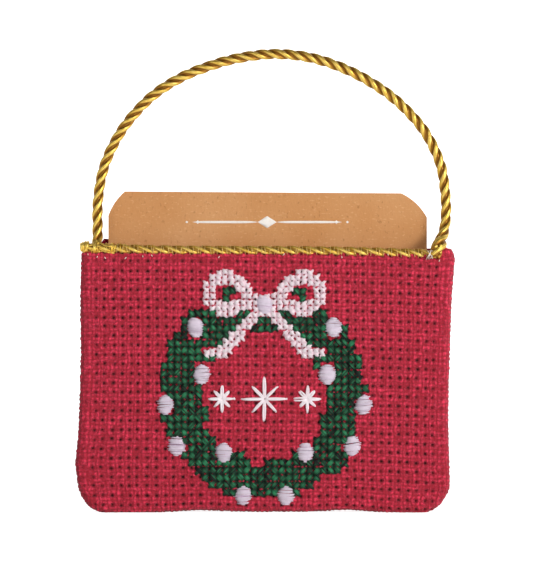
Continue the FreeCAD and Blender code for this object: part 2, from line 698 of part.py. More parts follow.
def berry_stitching():
    """White satin-stitch berries: low humps on the cloth, steep at the side and flatter on top."""
    foot = "Sizes.berry_width / 2"
    berries = []
    for number, (x, z) in enumerate(berry_places(), start=1):
        hump = doc.addObject("Part::Cone", "berry_%d" % number)
        bind(hump, Radius1=foot, Radius2="Sizes.berry_crown * " + foot, Height="Sizes.berry_rise")
        hump.Placement.Rotation = FreeCAD.Rotation(Vector(1, 0, 0), 90)
        locate(hump, x, FRONT_FACE, "Sizes.wreath_height + %s" % z)
        berries.append(hump)
    group = doc.addObject("Part::Compound", "berry_stitching")
    group.Label = "berry_stitching"
    group.Links = berries
    subparts.append(group)


def star(name, reach, x):
    """A star of straight stitches: pointed rays about one centre."""
    body = doc.addObject("PartDesign::Body", name)
    locate(body, x, FRONT_FACE, "Sizes.wreath_height")
    ray = upright_sketch(body, name + "_ray_outline")
    side = "Sizes.ray_width / 2"
    shoulder = "(%s - Sizes.ray_width)" % reach
    polygon(ray, [("-" + side, "0"), (side, "0"), (side, shoulder), ("0", reach), ("-" + side, shoulder)])
    feature = pad(body, ray, "Sizes.star_thickness", name + "_ray")
    around(body, feature, ray, "Sizes.star_points", name + "_rays")
    return body


def star_stitching():
    """White stitched stars in the middle of the wreath."""
    group = doc.addObject("Part::Compound", "star_stitching")
    group.Label = "star_stitching"
    middle_reach = "Sizes.star_share * " + STAR_ROOM
    side_reach = "Sizes.side_star_share * " + STAR_ROOM
    side_place = "Sizes.side_star_place * " + STAR_ROOM
    group.Links = [
        star("left_star", side_reach, "-" + side_place),
        star("middle_star", middle_reach, "0"),
        star("right_star", side_reach, side_place),
    ]
    subparts.append(group)


front_panel()
back_panel()
front_interfacing()
front_lining()
back_lining()
card_insert()
mouth_trim_cord()
handle_cord()
handle_end("handle_end_left", HANDLE_ROUTE[0][0])
handle_end("handle_end_right", HANDLE_ROUTE[-1][0])
wreath_stitching()
bow_stitching()
berry_stitching()
star_stitching()
doc.recompute()

# Every feature has to be sound before anything is written
for item in doc.Objects:
    if "Invalid" in item.State or "Error" in item.State:
        raise RuntimeError("%s failed: %s" % (item.Name, item.State))
os.makedirs("parts", exist_ok=True)
for item in subparts:
    if item.Shape.isNull() or not item.Shape.isValid():
        raise RuntimeError(item.Label + " has no sound shape")
for item in subparts:
    item.Shape.exportStep("parts/%s.step" % item.Label)
    box = item.Shape.optimalBoundingBox()
    print("%-18s solids %d  volume %8.1f  x %6.2f..%6.2f  y %6.2f..%6.2f  z %6.2f..%6.2f" % (
        item.Label, len(item.Shape.Solids), item.Shape.Volume,
        box.XMin, box.XMax, box.YMin, box.YMax, box.ZMin, box.ZMax))
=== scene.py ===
# %% [markdown]
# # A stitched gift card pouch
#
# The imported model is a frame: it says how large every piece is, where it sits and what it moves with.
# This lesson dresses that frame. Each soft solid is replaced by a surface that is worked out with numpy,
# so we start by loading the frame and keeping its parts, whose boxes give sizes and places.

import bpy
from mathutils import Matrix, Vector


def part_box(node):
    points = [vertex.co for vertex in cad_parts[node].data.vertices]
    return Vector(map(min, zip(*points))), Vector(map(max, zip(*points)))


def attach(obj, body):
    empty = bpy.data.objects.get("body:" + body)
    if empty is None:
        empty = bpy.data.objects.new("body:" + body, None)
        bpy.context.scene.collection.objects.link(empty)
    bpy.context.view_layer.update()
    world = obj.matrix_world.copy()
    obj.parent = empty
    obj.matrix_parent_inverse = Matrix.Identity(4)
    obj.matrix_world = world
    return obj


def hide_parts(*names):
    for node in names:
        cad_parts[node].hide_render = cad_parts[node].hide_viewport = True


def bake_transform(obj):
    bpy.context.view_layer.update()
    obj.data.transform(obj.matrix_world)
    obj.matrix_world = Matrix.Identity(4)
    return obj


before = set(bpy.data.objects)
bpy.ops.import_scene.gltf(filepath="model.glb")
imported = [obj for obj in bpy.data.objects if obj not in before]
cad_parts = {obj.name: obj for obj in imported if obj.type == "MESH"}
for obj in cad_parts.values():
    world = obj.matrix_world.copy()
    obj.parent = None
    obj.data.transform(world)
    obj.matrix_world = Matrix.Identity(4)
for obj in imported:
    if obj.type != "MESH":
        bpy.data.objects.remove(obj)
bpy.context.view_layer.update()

import math

import bpy
import numpy as np

MM = 0.001


def node_range(node):
    """The lowest and highest corner of one of the frame's nodes, in millimetres."""
    low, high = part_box(node)
    return np.array(low) / MM, np.array(high) / MM


# %% [markdown]
# ## Small helpers
#
# A grid of points becomes a surface when each little square of four neighbours becomes a face. Pieces here
# are either such grids or tubes round a path, which are grids that close on themselves. One function numbers
# the squares and another puts finished arrays into a mesh, in millimetres, so that the rest of the script
# can think about shapes only.


# %% Grids and tubes
def grid_quads(rows, columns, wrap=False):
    """Corner numbers of each square in a grid that is numbered row by row.

    With wrap, one more column of squares joins the last points of each row to the first.
    """
    last = columns if wrap else columns - 1
    row, column = np.meshgrid(np.arange(rows - 1), np.arange(last), indexing="ij")
    following = (column + 1) % columns
    near, far = row * columns, (row + 1) * columns
    corners = [near + column, near + following, far + following, far + column]
    return np.stack(corners, axis=-1).reshape(-1, 4)


def tube_faces(count, rings, sides):
    """Faces of many tubes of the same size: squares along each, and one flat face at each end."""
    start = np.arange(count)[:, None, None] * rings * sides
    walls = (grid_quads(rings, sides, wrap=True)[None] + start).reshape(-1, 4)
    first = start[:, 0] + np.arange(sides)[None, ::-1]
    last = start[:, 0] + (rings - 1) * sides + np.arange(sides)[None]
    return walls.tolist() + first.tolist() + last.tolist()


def xyz(x, y, z):
    """Points from their coordinates, which are arrays that fit each other or single numbers."""
    return np.stack(np.broadcast_arrays(x, y, z), axis=-1)


def bell(x, middle, width):
    """A smooth bump: e to the minus square of the distance from the middle over the width."""
    return np.exp(-((x - middle) / width) ** 2)


def bells(x, table):
    """The sum of smooth bumps, each given by its height, middle and width."""
    return sum(height * bell(x, middle, width) for height, middle, width in table)


def unit(vectors):
    """Each vector divided by its length."""
    return vectors / np.maximum(np.linalg.norm(vectors, axis=-1, keepdims=True), 1e-9)


def square_to(vectors, axis):
    """What is left of each vector when its share along an axis is taken away, made one long."""
    return unit(vectors - np.sum(vectors * axis, axis=-1, keepdims=True) * axis)


def threads(paths, thickness, sides, flat=1.0, out=(0, -1, 0)):
    """Tubes round many short paths at once.

    Each ring stands square to its path: one axis points as far outwards as it can, the other is square to
    it. The thickness may differ along a path, and flat presses the ring towards the cloth.
    """
    way = unit(np.gradient(paths, axis=1))
    outward = square_to(np.broadcast_to(np.array(out, dtype=float), paths.shape), way)
    across = np.cross(way, outward)
    around = 2 * np.pi * (np.arange(sides) + 0.5) / sides + np.pi
    ring = flat * np.cos(around)[:, None] * outward[:, :, None]
    ring = ring + np.sin(around)[:, None] * across[:, :, None]
    radius = np.broadcast_to(np.asarray(thickness, dtype=float) / 2, paths.shape[:2])
    points = paths[:, :, None] + radius[:, :, None, None] * ring
    gaps = np.linalg.norm(np.diff(paths, axis=1), axis=2)
    along = np.concatenate([np.zeros((len(paths), 1)), np.cumsum(gaps, axis=1)], axis=1)
    share_round = (np.arange(sides) / sides)[None, None]
    uv = np.stack(np.broadcast_arrays(along[:, :, None], share_round), axis=-1)
    return points, tube_faces(*points.shape[:3]), uv


# %% Meshes
def make_piece(name, points, faces, finish, body="pouch", uv=None, marks=None):
    """Turn arrays into an object that rides on a body.

    Points are in millimetres, faces are corner numbers, and marks are numbers per point, by name.
    """
    faces = faces if isinstance(faces, list) else faces.tolist()
    mesh = bpy.data.meshes.new(name)
    mesh.from_pydata((points.reshape(-1, 3) * MM).tolist(), [], faces)
    mesh.shade_smooth()
    corner = np.empty(len(mesh.loops), dtype=np.int32)
    mesh.loops.foreach_get("vertex_index", corner)
    if uv is not None:
        layer = mesh.uv_layers.new(name="Along")
        layer.data.foreach_set("uv", uv.reshape(-1, 2)[corner].astype(np.float32).ravel())
    for mark_name, numbers in (marks or {}).items():
        attribute = mesh.attributes.new(mark_name, "FLOAT", "POINT")
        attribute.data.foreach_set("value", np.ravel(numbers).astype(np.float32))
    mesh.materials.append(finish)
    piece = bpy.data.objects.new(name, mesh)
    bpy.context.collection.objects.link(piece)
    if body:
        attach(piece, body)
    print("%s: %d points, %d faces" % (name, len(mesh.vertices), len(mesh.polygons)))
    return piece


# %% [markdown]
# ## Node helpers
#
# Finishes are node trees. A few helpers keep them short: one adds a node and sets or links its inputs, and
# the others use it for arithmetic, for mixing colours, for bumps and for the numbers that a mesh carries.
# Colours are written as a paint program shows them and turned into linear light here.


# %% Nodes and colours
def rgb(red, green, blue):
    """A colour from 0 to 255 per channel, as linear light."""
    share = np.array([red, green, blue]) / 255
    linear = np.where(share <= 0.04045, share / 12.92, ((share + 0.055) / 1.055) ** 2.4)
    return (*linear.tolist(), 1.0)


def put(tree, kind, inputs=None, **settings):
    """Add a node, change its settings, and set or link its inputs by name or number."""
    node = tree.nodes.new(kind)
    for setting, choice in settings.items():
        setattr(node, setting, choice)
    for socket, source in (inputs or {}).items():
        if isinstance(source, bpy.types.NodeSocket):
            tree.links.new(source, node.inputs[socket])
        else:
            node.inputs[socket].default_value = source
    return node


def math_node(tree, operation, first, second=0.0):
    """One step of arithmetic on one or two numbers."""
    return put(tree, "ShaderNodeMath", {0: first, 1: second}, operation=operation).outputs[0]


def spread(tree, number, low, high, to_low=0.0, to_high=1.0):
    """Stretch a number's range from low..high to another one, and stop at its ends."""
    inputs = {"Value": number, "From Min": low, "From Max": high, "To Min": to_low, "To Max": to_high}
    return put(tree, "ShaderNodeMapRange", inputs).outputs[0]


def mixed(tree, share, first, second, blend="MIX"):
    """The first colour, with a share of the second blended in."""
    inputs = {0: share, 6: first, 7: second}
    return put(tree, "ShaderNodeMix", inputs, data_type="RGBA", blend_type=blend).outputs[2]


def mark(tree, name):
    """A number that a mesh carries at each of its points."""
    return put(tree, "ShaderNodeAttribute", attribute_name=name).outputs["Fac"]


def place_in(tree, kind):
    """A point's X, Y and Z in one of Blender's kinds of coordinates."""
    return put(tree, "ShaderNodeSeparateXYZ", {0: put(tree, "ShaderNodeTexCoord").outputs[kind]}).outputs


def new_finish(name, roughness, **constants):
    """A material with a Principled shader, whose constant inputs are set on the shader itself."""
    finish = bpy.data.materials.new(name)
    finish.use_nodes = True
    tree = finish.node_tree
    shader = tree.nodes["Principled BSDF"]
    shader.inputs["Roughness"].default_value = roughness
    for socket, number in constants.items():
        shader.inputs[socket.replace("_", " ")].default_value = number
    return finish, tree, shader


def bumped(tree, shader, height, distance):
    """Tilt the shading by a height that changes over the surface."""
    bump = put(tree, "ShaderNodeBump", {"Height": height, "Distance": distance, "Strength": 1.0})
    tree.links.new(bump.outputs[0], shader.inputs["Normal"])


# %% [markdown]
# ## Shared effects
#
# Cloth, board and velvet are all a little blotchy, so one node group makes that mottling at any scale.
# Thread is made of fine filaments, so another draws stripes along it. The linings are plain woven, and a
# third group gives their over and under. The front's threads can be counted, and the fourth follows them
# on the cloth's own UV map. Each is built once and placed where it is needed with its own values.


# %% Node groups
def new_group(name, inputs, output):
    """An empty node group with number sockets: some inputs with their usual values, and one output."""
    group = bpy.data.node_groups.new(name, "ShaderNodeTree")
    for label, number in inputs.items():
        socket = group.interface.new_socket(label, in_out="INPUT", socket_type="NodeSocketFloat")
        socket.default_value = number
    group.interface.new_socket(output, in_out="OUTPUT", socket_type="NodeSocketFloat")
    return group, group.nodes.new("NodeGroupInput").outputs, group.nodes.new("NodeGroupOutput").inputs


def use_group(tree, group, **inputs):
    """Place a group in a tree with these inputs, and give its output."""
    return put(tree, "ShaderNodeGroup", inputs, node_tree=group).outputs[0]


def thread_waves(tree, wave, ways, count):
    """A wave along each way, with half a wave to a thread and so many threads to a unit."""
    half_turns = math_node(tree, "MULTIPLY", count, math.pi)
    return [math_node(tree, wave, math_node(tree, "MULTIPLY", way, half_turns)) for way in ways]


# %% Mottling and filaments
MOTTLE, taken, given = new_group("mottle", {"Scale": 100.0, "Stretch": 1.0}, "Value")
place = put(MOTTLE, "ShaderNodeTexCoord").outputs["Object"]
stretch = put(MOTTLE, "ShaderNodeCombineXYZ", {"X": 1.0, "Y": 1.0, "Z": taken["Stretch"]}).outputs[0]
place = put(MOTTLE, "ShaderNodeVectorMath", {0: place, 1: stretch}, operation="MULTIPLY").outputs[0]
noise = put(MOTTLE, "ShaderNodeTexNoise", {"Vector": place, "Scale": taken["Scale"], "Detail": 4.0})
MOTTLE.links.new(spread(MOTTLE, noise.outputs[0], 0.3, 0.7), given["Value"])

FILAMENTS, taken, given = new_group("filaments", {"Count": 6.0, "Twist": 0.4}, "Height")
along, across = place_in(FILAMENTS, "UV")[:2]
turned = math_node(FILAMENTS, "ADD", across, math_node(FILAMENTS, "MULTIPLY", along, taken["Twist"]))
waves = thread_waves(FILAMENTS, "SINE", [turned], taken["Count"])
FILAMENTS.links.new(math_node(FILAMENTS, "ABSOLUTE", waves[0]), given["Height"])

# %% Weaves
PLAIN_WEAVE, taken, given = new_group("plain_weave", {"Threads per metre": 2000.0}, "Height")
x_way, _, z_way = place_in(PLAIN_WEAVE, "Object")
waves = thread_waves(PLAIN_WEAVE, "SINE", [x_way, z_way], taken[0])
PLAIN_WEAVE.links.new(math_node(PLAIN_WEAVE, "MULTIPLY", *waves), given["Height"])

COUNTED, taken, given = new_group("counted_threads", {"Threads per square": 3.0}, "Height")
waves = thread_waves(COUNTED, "COSINE", place_in(COUNTED, "UV")[:2], taken[0])
warp_over = math_node(COUNTED, "GREATER_THAN", math_node(COUNTED, "MULTIPLY", *waves), 0.0)
weft_back, warp_back = [math_node(COUNTED, "ABSOLUTE", wave) for wave in waves]
height = put(COUNTED, "ShaderNodeMix", {0: warp_over, 2: warp_back, 3: weft_back}).outputs[0]
COUNTED.links.new(height, given["Height"])
print("shared effects:", [group.name for group in bpy.data.node_groups])

# %% [markdown]
# ## Camera and light
#
# The photograph looks straight at the front, from about the middle of its height. A long lens from 0.9 m
# keeps the sides almost parallel. The light is soft: a pale sky that is dim overhead and on the left, a
# white floor that throws light up under the cord, a large lamp low on the right and a weaker one on the
# left. Floor and backdrop look white to the camera and to shiny surfaces, and light everything else as
# plain white board.

# %% Camera
IMAGE_WIDTH, IMAGE_HEIGHT = 533, 577
VIEW_WIDTH, VIEW_DISTANCE = 144.8, 900.0
VIEW_X, VIEW_Z = 0.54, 61.0
FRONT_Y = node_range("front_panel")[0][1]

camera_data = bpy.data.cameras.new("camera")
camera_data.sensor_fit = "VERTICAL"
view_height = VIEW_WIDTH * IMAGE_HEIGHT / IMAGE_WIDTH
camera_data.lens = camera_data.sensor_height * VIEW_DISTANCE / view_height
camera = bpy.data.objects.new("camera", camera_data)
camera.location = (VIEW_X * MM, (FRONT_Y - VIEW_DISTANCE) * MM, VIEW_Z * MM)
camera.rotation_euler = (math.radians(90), 0, 0)
bpy.context.collection.objects.link(camera)
bpy.context.scene.camera = camera
bpy.context.scene.view_settings.view_transform = "Standard"
print("camera lens %.1f mm" % camera_data.lens)

# %% Lamps
LAMP_AIM = (0, 0, 0.06)


def lamp(name, place, size, watts):
    """A square lamp that faces the pouch."""
    data = bpy.data.lights.new(name, "AREA")
    data.size = size
    data.energy = watts
    item = bpy.data.objects.new(name, data)
    item.location = place
    aim = np.array(LAMP_AIM) - np.array(place)
    level = math.hypot(aim[0], aim[1])
    item.rotation_euler = (math.atan2(level, -aim[2]), 0, math.atan2(-aim[0], aim[1]))
    bpy.context.collection.objects.link(item)


lamp("key", (0.8, -0.9, 0.35), size=0.4, watts=9.5)
lamp("fill", (-0.7, -1.0, 0.45), size=0.5, watts=2.0)
print("lamps:", [light.name for light in bpy.data.lights])

# %% Sky
HORIZON, OVERHEAD, OVERHEAD_FROM = 1.2, 0.1, 0.55
LEFT_SKY, RIGHT_SKY, SIDE_FROM = 0.45, 1.35, 0.7

world = bpy.data.worlds.new("studio")
world.use_nodes = True
bpy.context.scene.world = world
sky = world.node_tree
where = place_in(sky, "Generated")
by_height = spread(sky, where["Z"], 0.0, OVERHEAD_FROM, HORIZON, OVERHEAD)
by_side = spread(sky, where["X"], -SIDE_FROM, SIDE_FROM, LEFT_SKY, RIGHT_SKY)
level = math_node(sky, "MULTIPLY", by_height, by_side)
seen = put(sky, "ShaderNodeLightPath").outputs["Is Camera Ray"]
level = put(sky, "ShaderNodeMix", {0: seen, 2: level, 3: 1.0}).outputs[0]
sky.links.new(level, sky.nodes["Background"].inputs["Strength"])
sky.nodes["Background"].inputs["Color"].default_value = (1.0, 1.0, 1.0, 1.0)
print("sky: %.2f at the horizon, %.2f overhead" % (HORIZON, OVERHEAD))

# %% Floor and backdrop
ROOM_HALF, ROOM_BACK, ROOM_HIGH = 2, 1, 2.5


def white_board(name, corners, shadow):
    """A flat white sheet that glows to the camera and in reflections; shadow is how much of one stays."""
    finish, tree, shader = new_finish(name, 0.9)
    shader.inputs["Base Color"].default_value = (0.85, 0.85, 0.85, 1.0)
    rays = put(tree, "ShaderNodeLightPath").outputs
    mirrored = math_node(tree, "MAXIMUM", rays["Is Glossy Ray"], rays["Is Transmission Ray"])
    seen = math_node(tree, "MAXIMUM", rays["Is Camera Ray"], mirrored)
    shader.inputs["Emission Color"].default_value = (1.0, 1.0, 1.0, 1.0)
    tree.links.new(math_node(tree, "MULTIPLY", seen, 1.0 - shadow), shader.inputs["Emission Strength"])
    mesh = bpy.data.meshes.new(name)
    mesh.from_pydata(corners, [], [(0, 1, 2, 3)])
    mesh.materials.append(finish)
    sheet = bpy.data.objects.new(name, mesh)
    bpy.context.collection.objects.link(sheet)
    print("%s: white board" % name)


far_edge = [(-ROOM_HALF, ROOM_BACK, 0), (ROOM_HALF, ROOM_BACK, 0)]
near_edge = [(-ROOM_HALF, -ROOM_HALF, 0), (ROOM_HALF, -ROOM_HALF, 0)]
upper_edge = [(ROOM_HALF, ROOM_BACK, ROOM_HIGH), (-ROOM_HALF, ROOM_BACK, ROOM_HIGH)]
white_board("floor", near_edge + far_edge[::-1], 0.12)
white_board("backdrop", far_edge + upper_edge, 0.0)

# %% [markdown]
# ## Gold cord
#
# The handle is a three-strand cord of shiny gold filaments. A picture of twist on a plain tube would look
# flat at its edges, so each strand is its own oval tube wound round the centre line, with ridges for its
# filaments, which are twisted the other way. The finish is mostly metallic: bright where it mirrors the
# floor and the lamps, and brown where it mirrors the dim sky. Brown is also painted on as shade: in the
# grooves between the filaments, on each strand's sides and on the core between the strands.


# %% Cord finish
def gold_finish(name):
    """Gold filaments painted brown as shade where the shade marks say that they lie deep."""
    finish, tree, shader = new_finish(name, 0.4, Metallic=0.8)
    blotch = use_group(tree, MOTTLE, Scale=900.0)
    bright = mixed(tree, blotch, rgb(226, 182, 62), rgb(252, 226, 122))
    # The brown below is painted shade, laid on by the strand, core and groove shade marks.
    painted_groove_shade = math_node(tree, "MULTIPLY", mark(tree, "painted_groove_shade"), 0.85)
    deep = math_node(tree, "MAXIMUM", mark(tree, "inner"), painted_groove_shade)
    tree.links.new(mixed(tree, deep, bright, rgb(142, 96, 28)), shader.inputs["Base Color"])
    tree.links.new(spread(tree, blotch, 0.0, 1.0, 0.34, 0.5), shader.inputs["Roughness"])
    return finish


GOLD = gold_finish("gold_cord")
print("finish:", GOLD.name)


# %% Lines
def smooth_line(name, control):
    """Points along a NURBS curve of order 3 with these control points, from the first to the last."""
    curve = bpy.data.curves.new(name, "CURVE")
    curve.dimensions = "3D"
    curve.resolution_u = 24
    spline = curve.splines.new("NURBS")
    spline.points.add(len(control) - 1)
    weighted = np.column_stack([np.array(control) * MM, np.ones(len(control))])
    spline.points.foreach_set("co", weighted.ravel())
    spline.order_u = 3
    spline.use_endpoint_u = True
    holder = bpy.data.objects.new(name, curve)
    bpy.context.collection.objects.link(holder)
    line = bpy.data.meshes.new_from_object(holder)
    points = np.empty(3 * len(line.vertices))
    line.vertices.foreach_get("co", points)
    bpy.data.objects.remove(holder)
    bpy.data.curves.remove(curve)
    bpy.data.meshes.remove(line)
    return points.reshape(-1, 3) / MM


def even_steps(points, step):
    """The same line with points a step apart, and how far along it each one is."""
    run = np.concatenate([[0.0], np.cumsum(np.linalg.norm(np.diff(points, axis=0), axis=1))])
    along = np.linspace(0.0, run[-1], int(run[-1] / step) + 1)
    return np.stack([np.interp(along, run, points[:, axis]) for axis in range(3)], axis=1), along


# %% Rope
ROPE_STEP, ROPE_SIDES = 0.35, 40
STRAND_DEPTH, CORE_RADIUS = 0.205, 0.3
RIDGES, RIDGE_HEIGHT, FILAMENT_TWIST = 10, 0.08, 0.25
GROOVE_SHADE, CREST = 2.4, 0.92


def rope(line, along, diameter, lay, width):
    """Three strands wound round a line, over a thin core that is painted dark as shade.

    A strand's centre circles the line once per lay. Its ring is an oval with the given width, with a ridge
    for each filament: the size of a cosine, turned backwards along the strand, adds the last share of the
    oval. Slow waves make each strand thicker and thinner by a few hundredths. The painted shade mark grows
    from the strand's crest to its sides and is full on the core, and the painted groove shade mark lies
    between the ridges.
    """
    size = np.broadcast_to(diameter, along.shape)[:, None]
    deep, wide = STRAND_DEPTH * size, width / 2 * size
    way = unit(np.gradient(line, axis=0))
    first = square_to(np.broadcast_to([0.0, 1.0, 0.0], line.shape), way)
    second = np.cross(way, first)
    strand = np.arange(3)[:, None]
    turn = 2 * np.pi * (along / lay + strand / 3)
    radial = np.cos(turn)[..., None] * first + np.sin(turn)[..., None] * second
    centre = line + (size / 2 - deep) * radial
    strand_way = unit(np.gradient(centre, axis=1))
    outward = square_to(radial, strand_way)
    across = np.cross(strand_way, outward)
    around = 2 * np.pi * np.arange(ROPE_SIDES) / ROPE_SIDES
    ridge = np.abs(np.cos(RIDGES / 2 * (around + FILAMENT_TWIST * along[:, None])))
    oval = (deep * np.cos(around))[..., None] * outward[:, :, None]
    oval = oval + (wide * np.sin(around))[..., None] * across[:, :, None]
    waves = 1 + 0.05 * np.sin(along / 2.3 + strand * 2) + 0.04 * np.sin(along / 0.9 + strand)
    girth = (1 - RIDGE_HEIGHT + RIDGE_HEIGHT * ridge)[None, :, :, None] * waves[:, :, None, None]
    points = centre[:, :, None] + girth * oval
    # Painted shade: each strand darkens from its crest to its sides, and between its filament ridges.
    inner = np.broadcast_to(np.clip(GROOVE_SHADE * (CREST - np.cos(around)), 0, 1), points.shape[:3])
    painted_groove_shade = np.broadcast_to(1 - ridge, points.shape[:3])
    core = np.cos(around)[:, None] * first[:, None] + np.sin(around)[:, None] * second[:, None]
    core = line[None, :, None] + CORE_RADIUS * size[:, :, None] * core
    points = np.concatenate([points, core])
    # Painted shade: the core is marked fully dark, so the gaps between the strands look deep.
    marks = {
        "inner": np.concatenate([inner, np.ones(core.shape[:3])]),
        "painted_groove_shade": np.concatenate([painted_groove_shade, np.zeros(core.shape[:3])]),
    }
    return points, tube_faces(*points.shape[:3]), marks


# %% [markdown]
# ## The handle
#
# One length of cord arches over the pouch, and its two ends are sewn to the trim at the front's hem. The
# route's points are those of the frame's tube, moved a little out, with a few more that take each end down
# to the mouth. The line through them is a smooth spline, and the strands follow it; the rope is a little
# wider than the tube, because its grooves take some of its width back, and it swells at its right foot,
# where the strands loosen. The piece rides on no body.

# %% Handle
CORD, LAY, CORD_STRAND = 2.8, 11.0, 0.49
ROPE_OVER_TUBE = 1.06
SWELL, SWELL_PLACE, SWELL_LENGTH = 0.4, 3.4, 2.6
HANDLE_Y, PIVOT_Z = -0.65, 75.8
LEFT_FOOT = [(-45.5, -3.3, 70.9), (-45.5, -2.6, 73.0)]
HANDLE_ROUTE = [
    (-45.5, 0.6), (-45.7, 8.6), (-44.1, 18.9), (-38.4, 30.0), (-28.2, 40.4), (-13.4, 47.0), (2.5, 49.8),
    (17.2, 47.5), (31.6, 40.5), (42.3, 30.8), (48.2, 20.0), (49.6, 9.6), (49.5, 3.4),
]
RIGHT_FOOT = [(48.8, -1.8, 75.7), (47.7, -4.0, 73.4), (46.8, -5.3, 71.2), (46.2, -5.4, 69.8)]

route = LEFT_FOOT + [(x, HANDLE_Y, PIVOT_Z + rise) for x, rise in HANDLE_ROUTE] + RIGHT_FOOT
handle_line, handle_along = even_steps(smooth_line("handle_route", route), ROPE_STEP)
handle_length = float(handle_along[-1])
girth = ROPE_OVER_TUBE + SWELL * bell(handle_along, handle_length - SWELL_PLACE, SWELL_LENGTH)
points, faces, marks = rope(handle_line, handle_along, girth * CORD, LAY, CORD_STRAND)
handle = make_piece("handle_rope", points, faces, GOLD, body=None, marks=marks)
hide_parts("handle_cord", "handle_end_left", "handle_end_right")
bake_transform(handle)
print("handle length %.1f mm" % handle_length)

# %% [markdown]
# ## The shape of the pouch
#
# The front cloth is one flat piece turned back round its sides and bottom, and folded in at the top. Its
# flat coordinates are known, so every point can be folded by a rule: inside the flat core it stays, past
# the core's edge it follows a quarter round, and past that it runs straight back to the seam. Near the two
# bottom corners the square grid is first pressed into a quarter disc. The sewn outline isn't true, so the
# last step leans its sides and lifts its lower edge a little.

# %% Fold
HALF, TALL = 51.0, 71.0
SEAM_Y = node_range("back_panel")[0][1]


def pressed(s, t):
    """Press a unit square into a quarter disc.

    Each way is shortened by the root of one minus half the square of the other way.
    """
    return s * np.sqrt(1 - t ** 2 / 2), t * np.sqrt(1 - s ** 2 / 2)


def folded_tray(a, b, half, floor, radius, roll, front, seam):
    """Fold flat points (a across, b up) into an open tray.

    How far a point lies past the flat core decides it: an angle of that distance over the roll's radius up
    to a quarter turn, and the rest straight back. Gives the point and the direction, seen from above, that
    it faces.
    """
    core_radius = radius - roll
    middle_x, middle_z = half - radius, floor + radius
    size = core_radius + roll * np.pi / 2 + seam - front - roll
    s = np.clip((np.abs(a) - middle_x) / size, 0, 1)
    t = np.clip((middle_z - b) / size, 0, 1)
    new_s, new_t = pressed(s, t)
    corner = (s > 0) & (t > 0)
    x = np.where(corner, middle_x + size * new_s, np.abs(a))
    z = np.where(corner, middle_z - size * new_t, b)
    side, below = np.maximum(x - middle_x, 0), np.maximum(middle_z - z, 0)
    far = np.maximum(np.hypot(side, below), 1e-9)
    past = np.maximum(far - core_radius, 0)
    angle = np.minimum(past / roll, np.pi / 2)
    kept = far - past + roll * np.sin(angle)
    y = front + roll * (1 - np.cos(angle)) + np.maximum(past - roll * np.pi / 2, 0)
    x = np.sign(a) * (np.minimum(x, middle_x) + side / far * kept)
    z = np.maximum(z, middle_z) - below / far * kept
    faces_x = np.sign(a) * side / far * np.sin(angle)
    return xyz(x, y, z), xyz(faces_x, -np.cos(angle), 0.0)


# %% Settle
LEAN_FROM, LIFT_REACH, TOP_REACH = 18.0, 14.0, 13.0
LEFT_LEAN = np.array([
    (0.0, 0.3), (0.05, 0.6), (0.1, 0.3), (0.19, -0.5), (0.28, 0.2), (0.37, 0.6), (0.6, 1.1), (0.83, 0.9),
    (1.0, 1.2),
]).T
RIGHT_LEAN = np.array([
    (0.0, -1.0), (0.05, -1.1), (0.1, -0.6), (0.2, -0.8), (0.37, -1.1), (0.6, -0.7), (0.83, -0.1), (0.97, 0.8),
    (1.0, 0.1),
]).T
LOWER_LIFTS = [(0.7, -16, 11), (0.75, 22, 9), (0.3, 4, 8)]
TOP_LIFTS = [(0.9, 49.2, 2.6), (-0.25, 41, 5)]
PUFF, PUFF_HALF, PUFF_MIDDLE, PUFF_REACH = 0.5, 49, 36, 34


def settled(points):
    """Lean the sides, lift the lower edge and raise the upper right corner: small moves that fade inwards.

    A side's move in millimetres is looked up by height, as a share of the front's, and fades with the
    square of the way in.
    """
    x, y, z = np.moveaxis(np.array(points, dtype=float), -1, 0)
    rise = np.clip(z / TALL, 0, 1)
    left = np.interp(rise, *LEFT_LEAN) * np.clip(-(x + LEAN_FROM) / (HALF - LEAN_FROM), 0, 1) ** 2
    right = np.interp(rise, *RIGHT_LEAN) * np.clip((x - LEAN_FROM) / (HALF - LEAN_FROM), 0, 1) ** 2
    z = z + bells(x, LOWER_LIFTS) * np.clip(1 - z / LIFT_REACH, 0, 1) ** 2
    z = z + bells(x, TOP_LIFTS) * np.clip((z - TALL + TOP_REACH) / TOP_REACH, 0, 1) ** 2
    return xyz(x + left + right, y, np.maximum(z, 0.02))


def puff(x, z):
    """How far the filled front stands out: a low dome that is level with the edges."""
    dome_z = np.maximum(1 - ((z - PUFF_MIDDLE) / PUFF_REACH) ** 2, 0)
    return PUFF * np.maximum(1 - (x / PUFF_HALF) ** 2, 0) * dome_z


def thread_piece(name, paths, thickness, finish, slot, body="pouch", settle=False, marks=None, sides=6,
                 **ring):
    """One piece of many threads, which may settle with the cloth.

    A mark is one number, or numbers for each thread or each of its rings.
    """
    points, faces, uv = threads(paths, thickness, sides, **ring)
    marks = {label: np.broadcast_to(numbers, points.shape[:3]) for label, numbers in (marks or {}).items()}
    points = settled(points) if settle else points
    return make_piece(name, points, faces, finish, body, uv, marks)
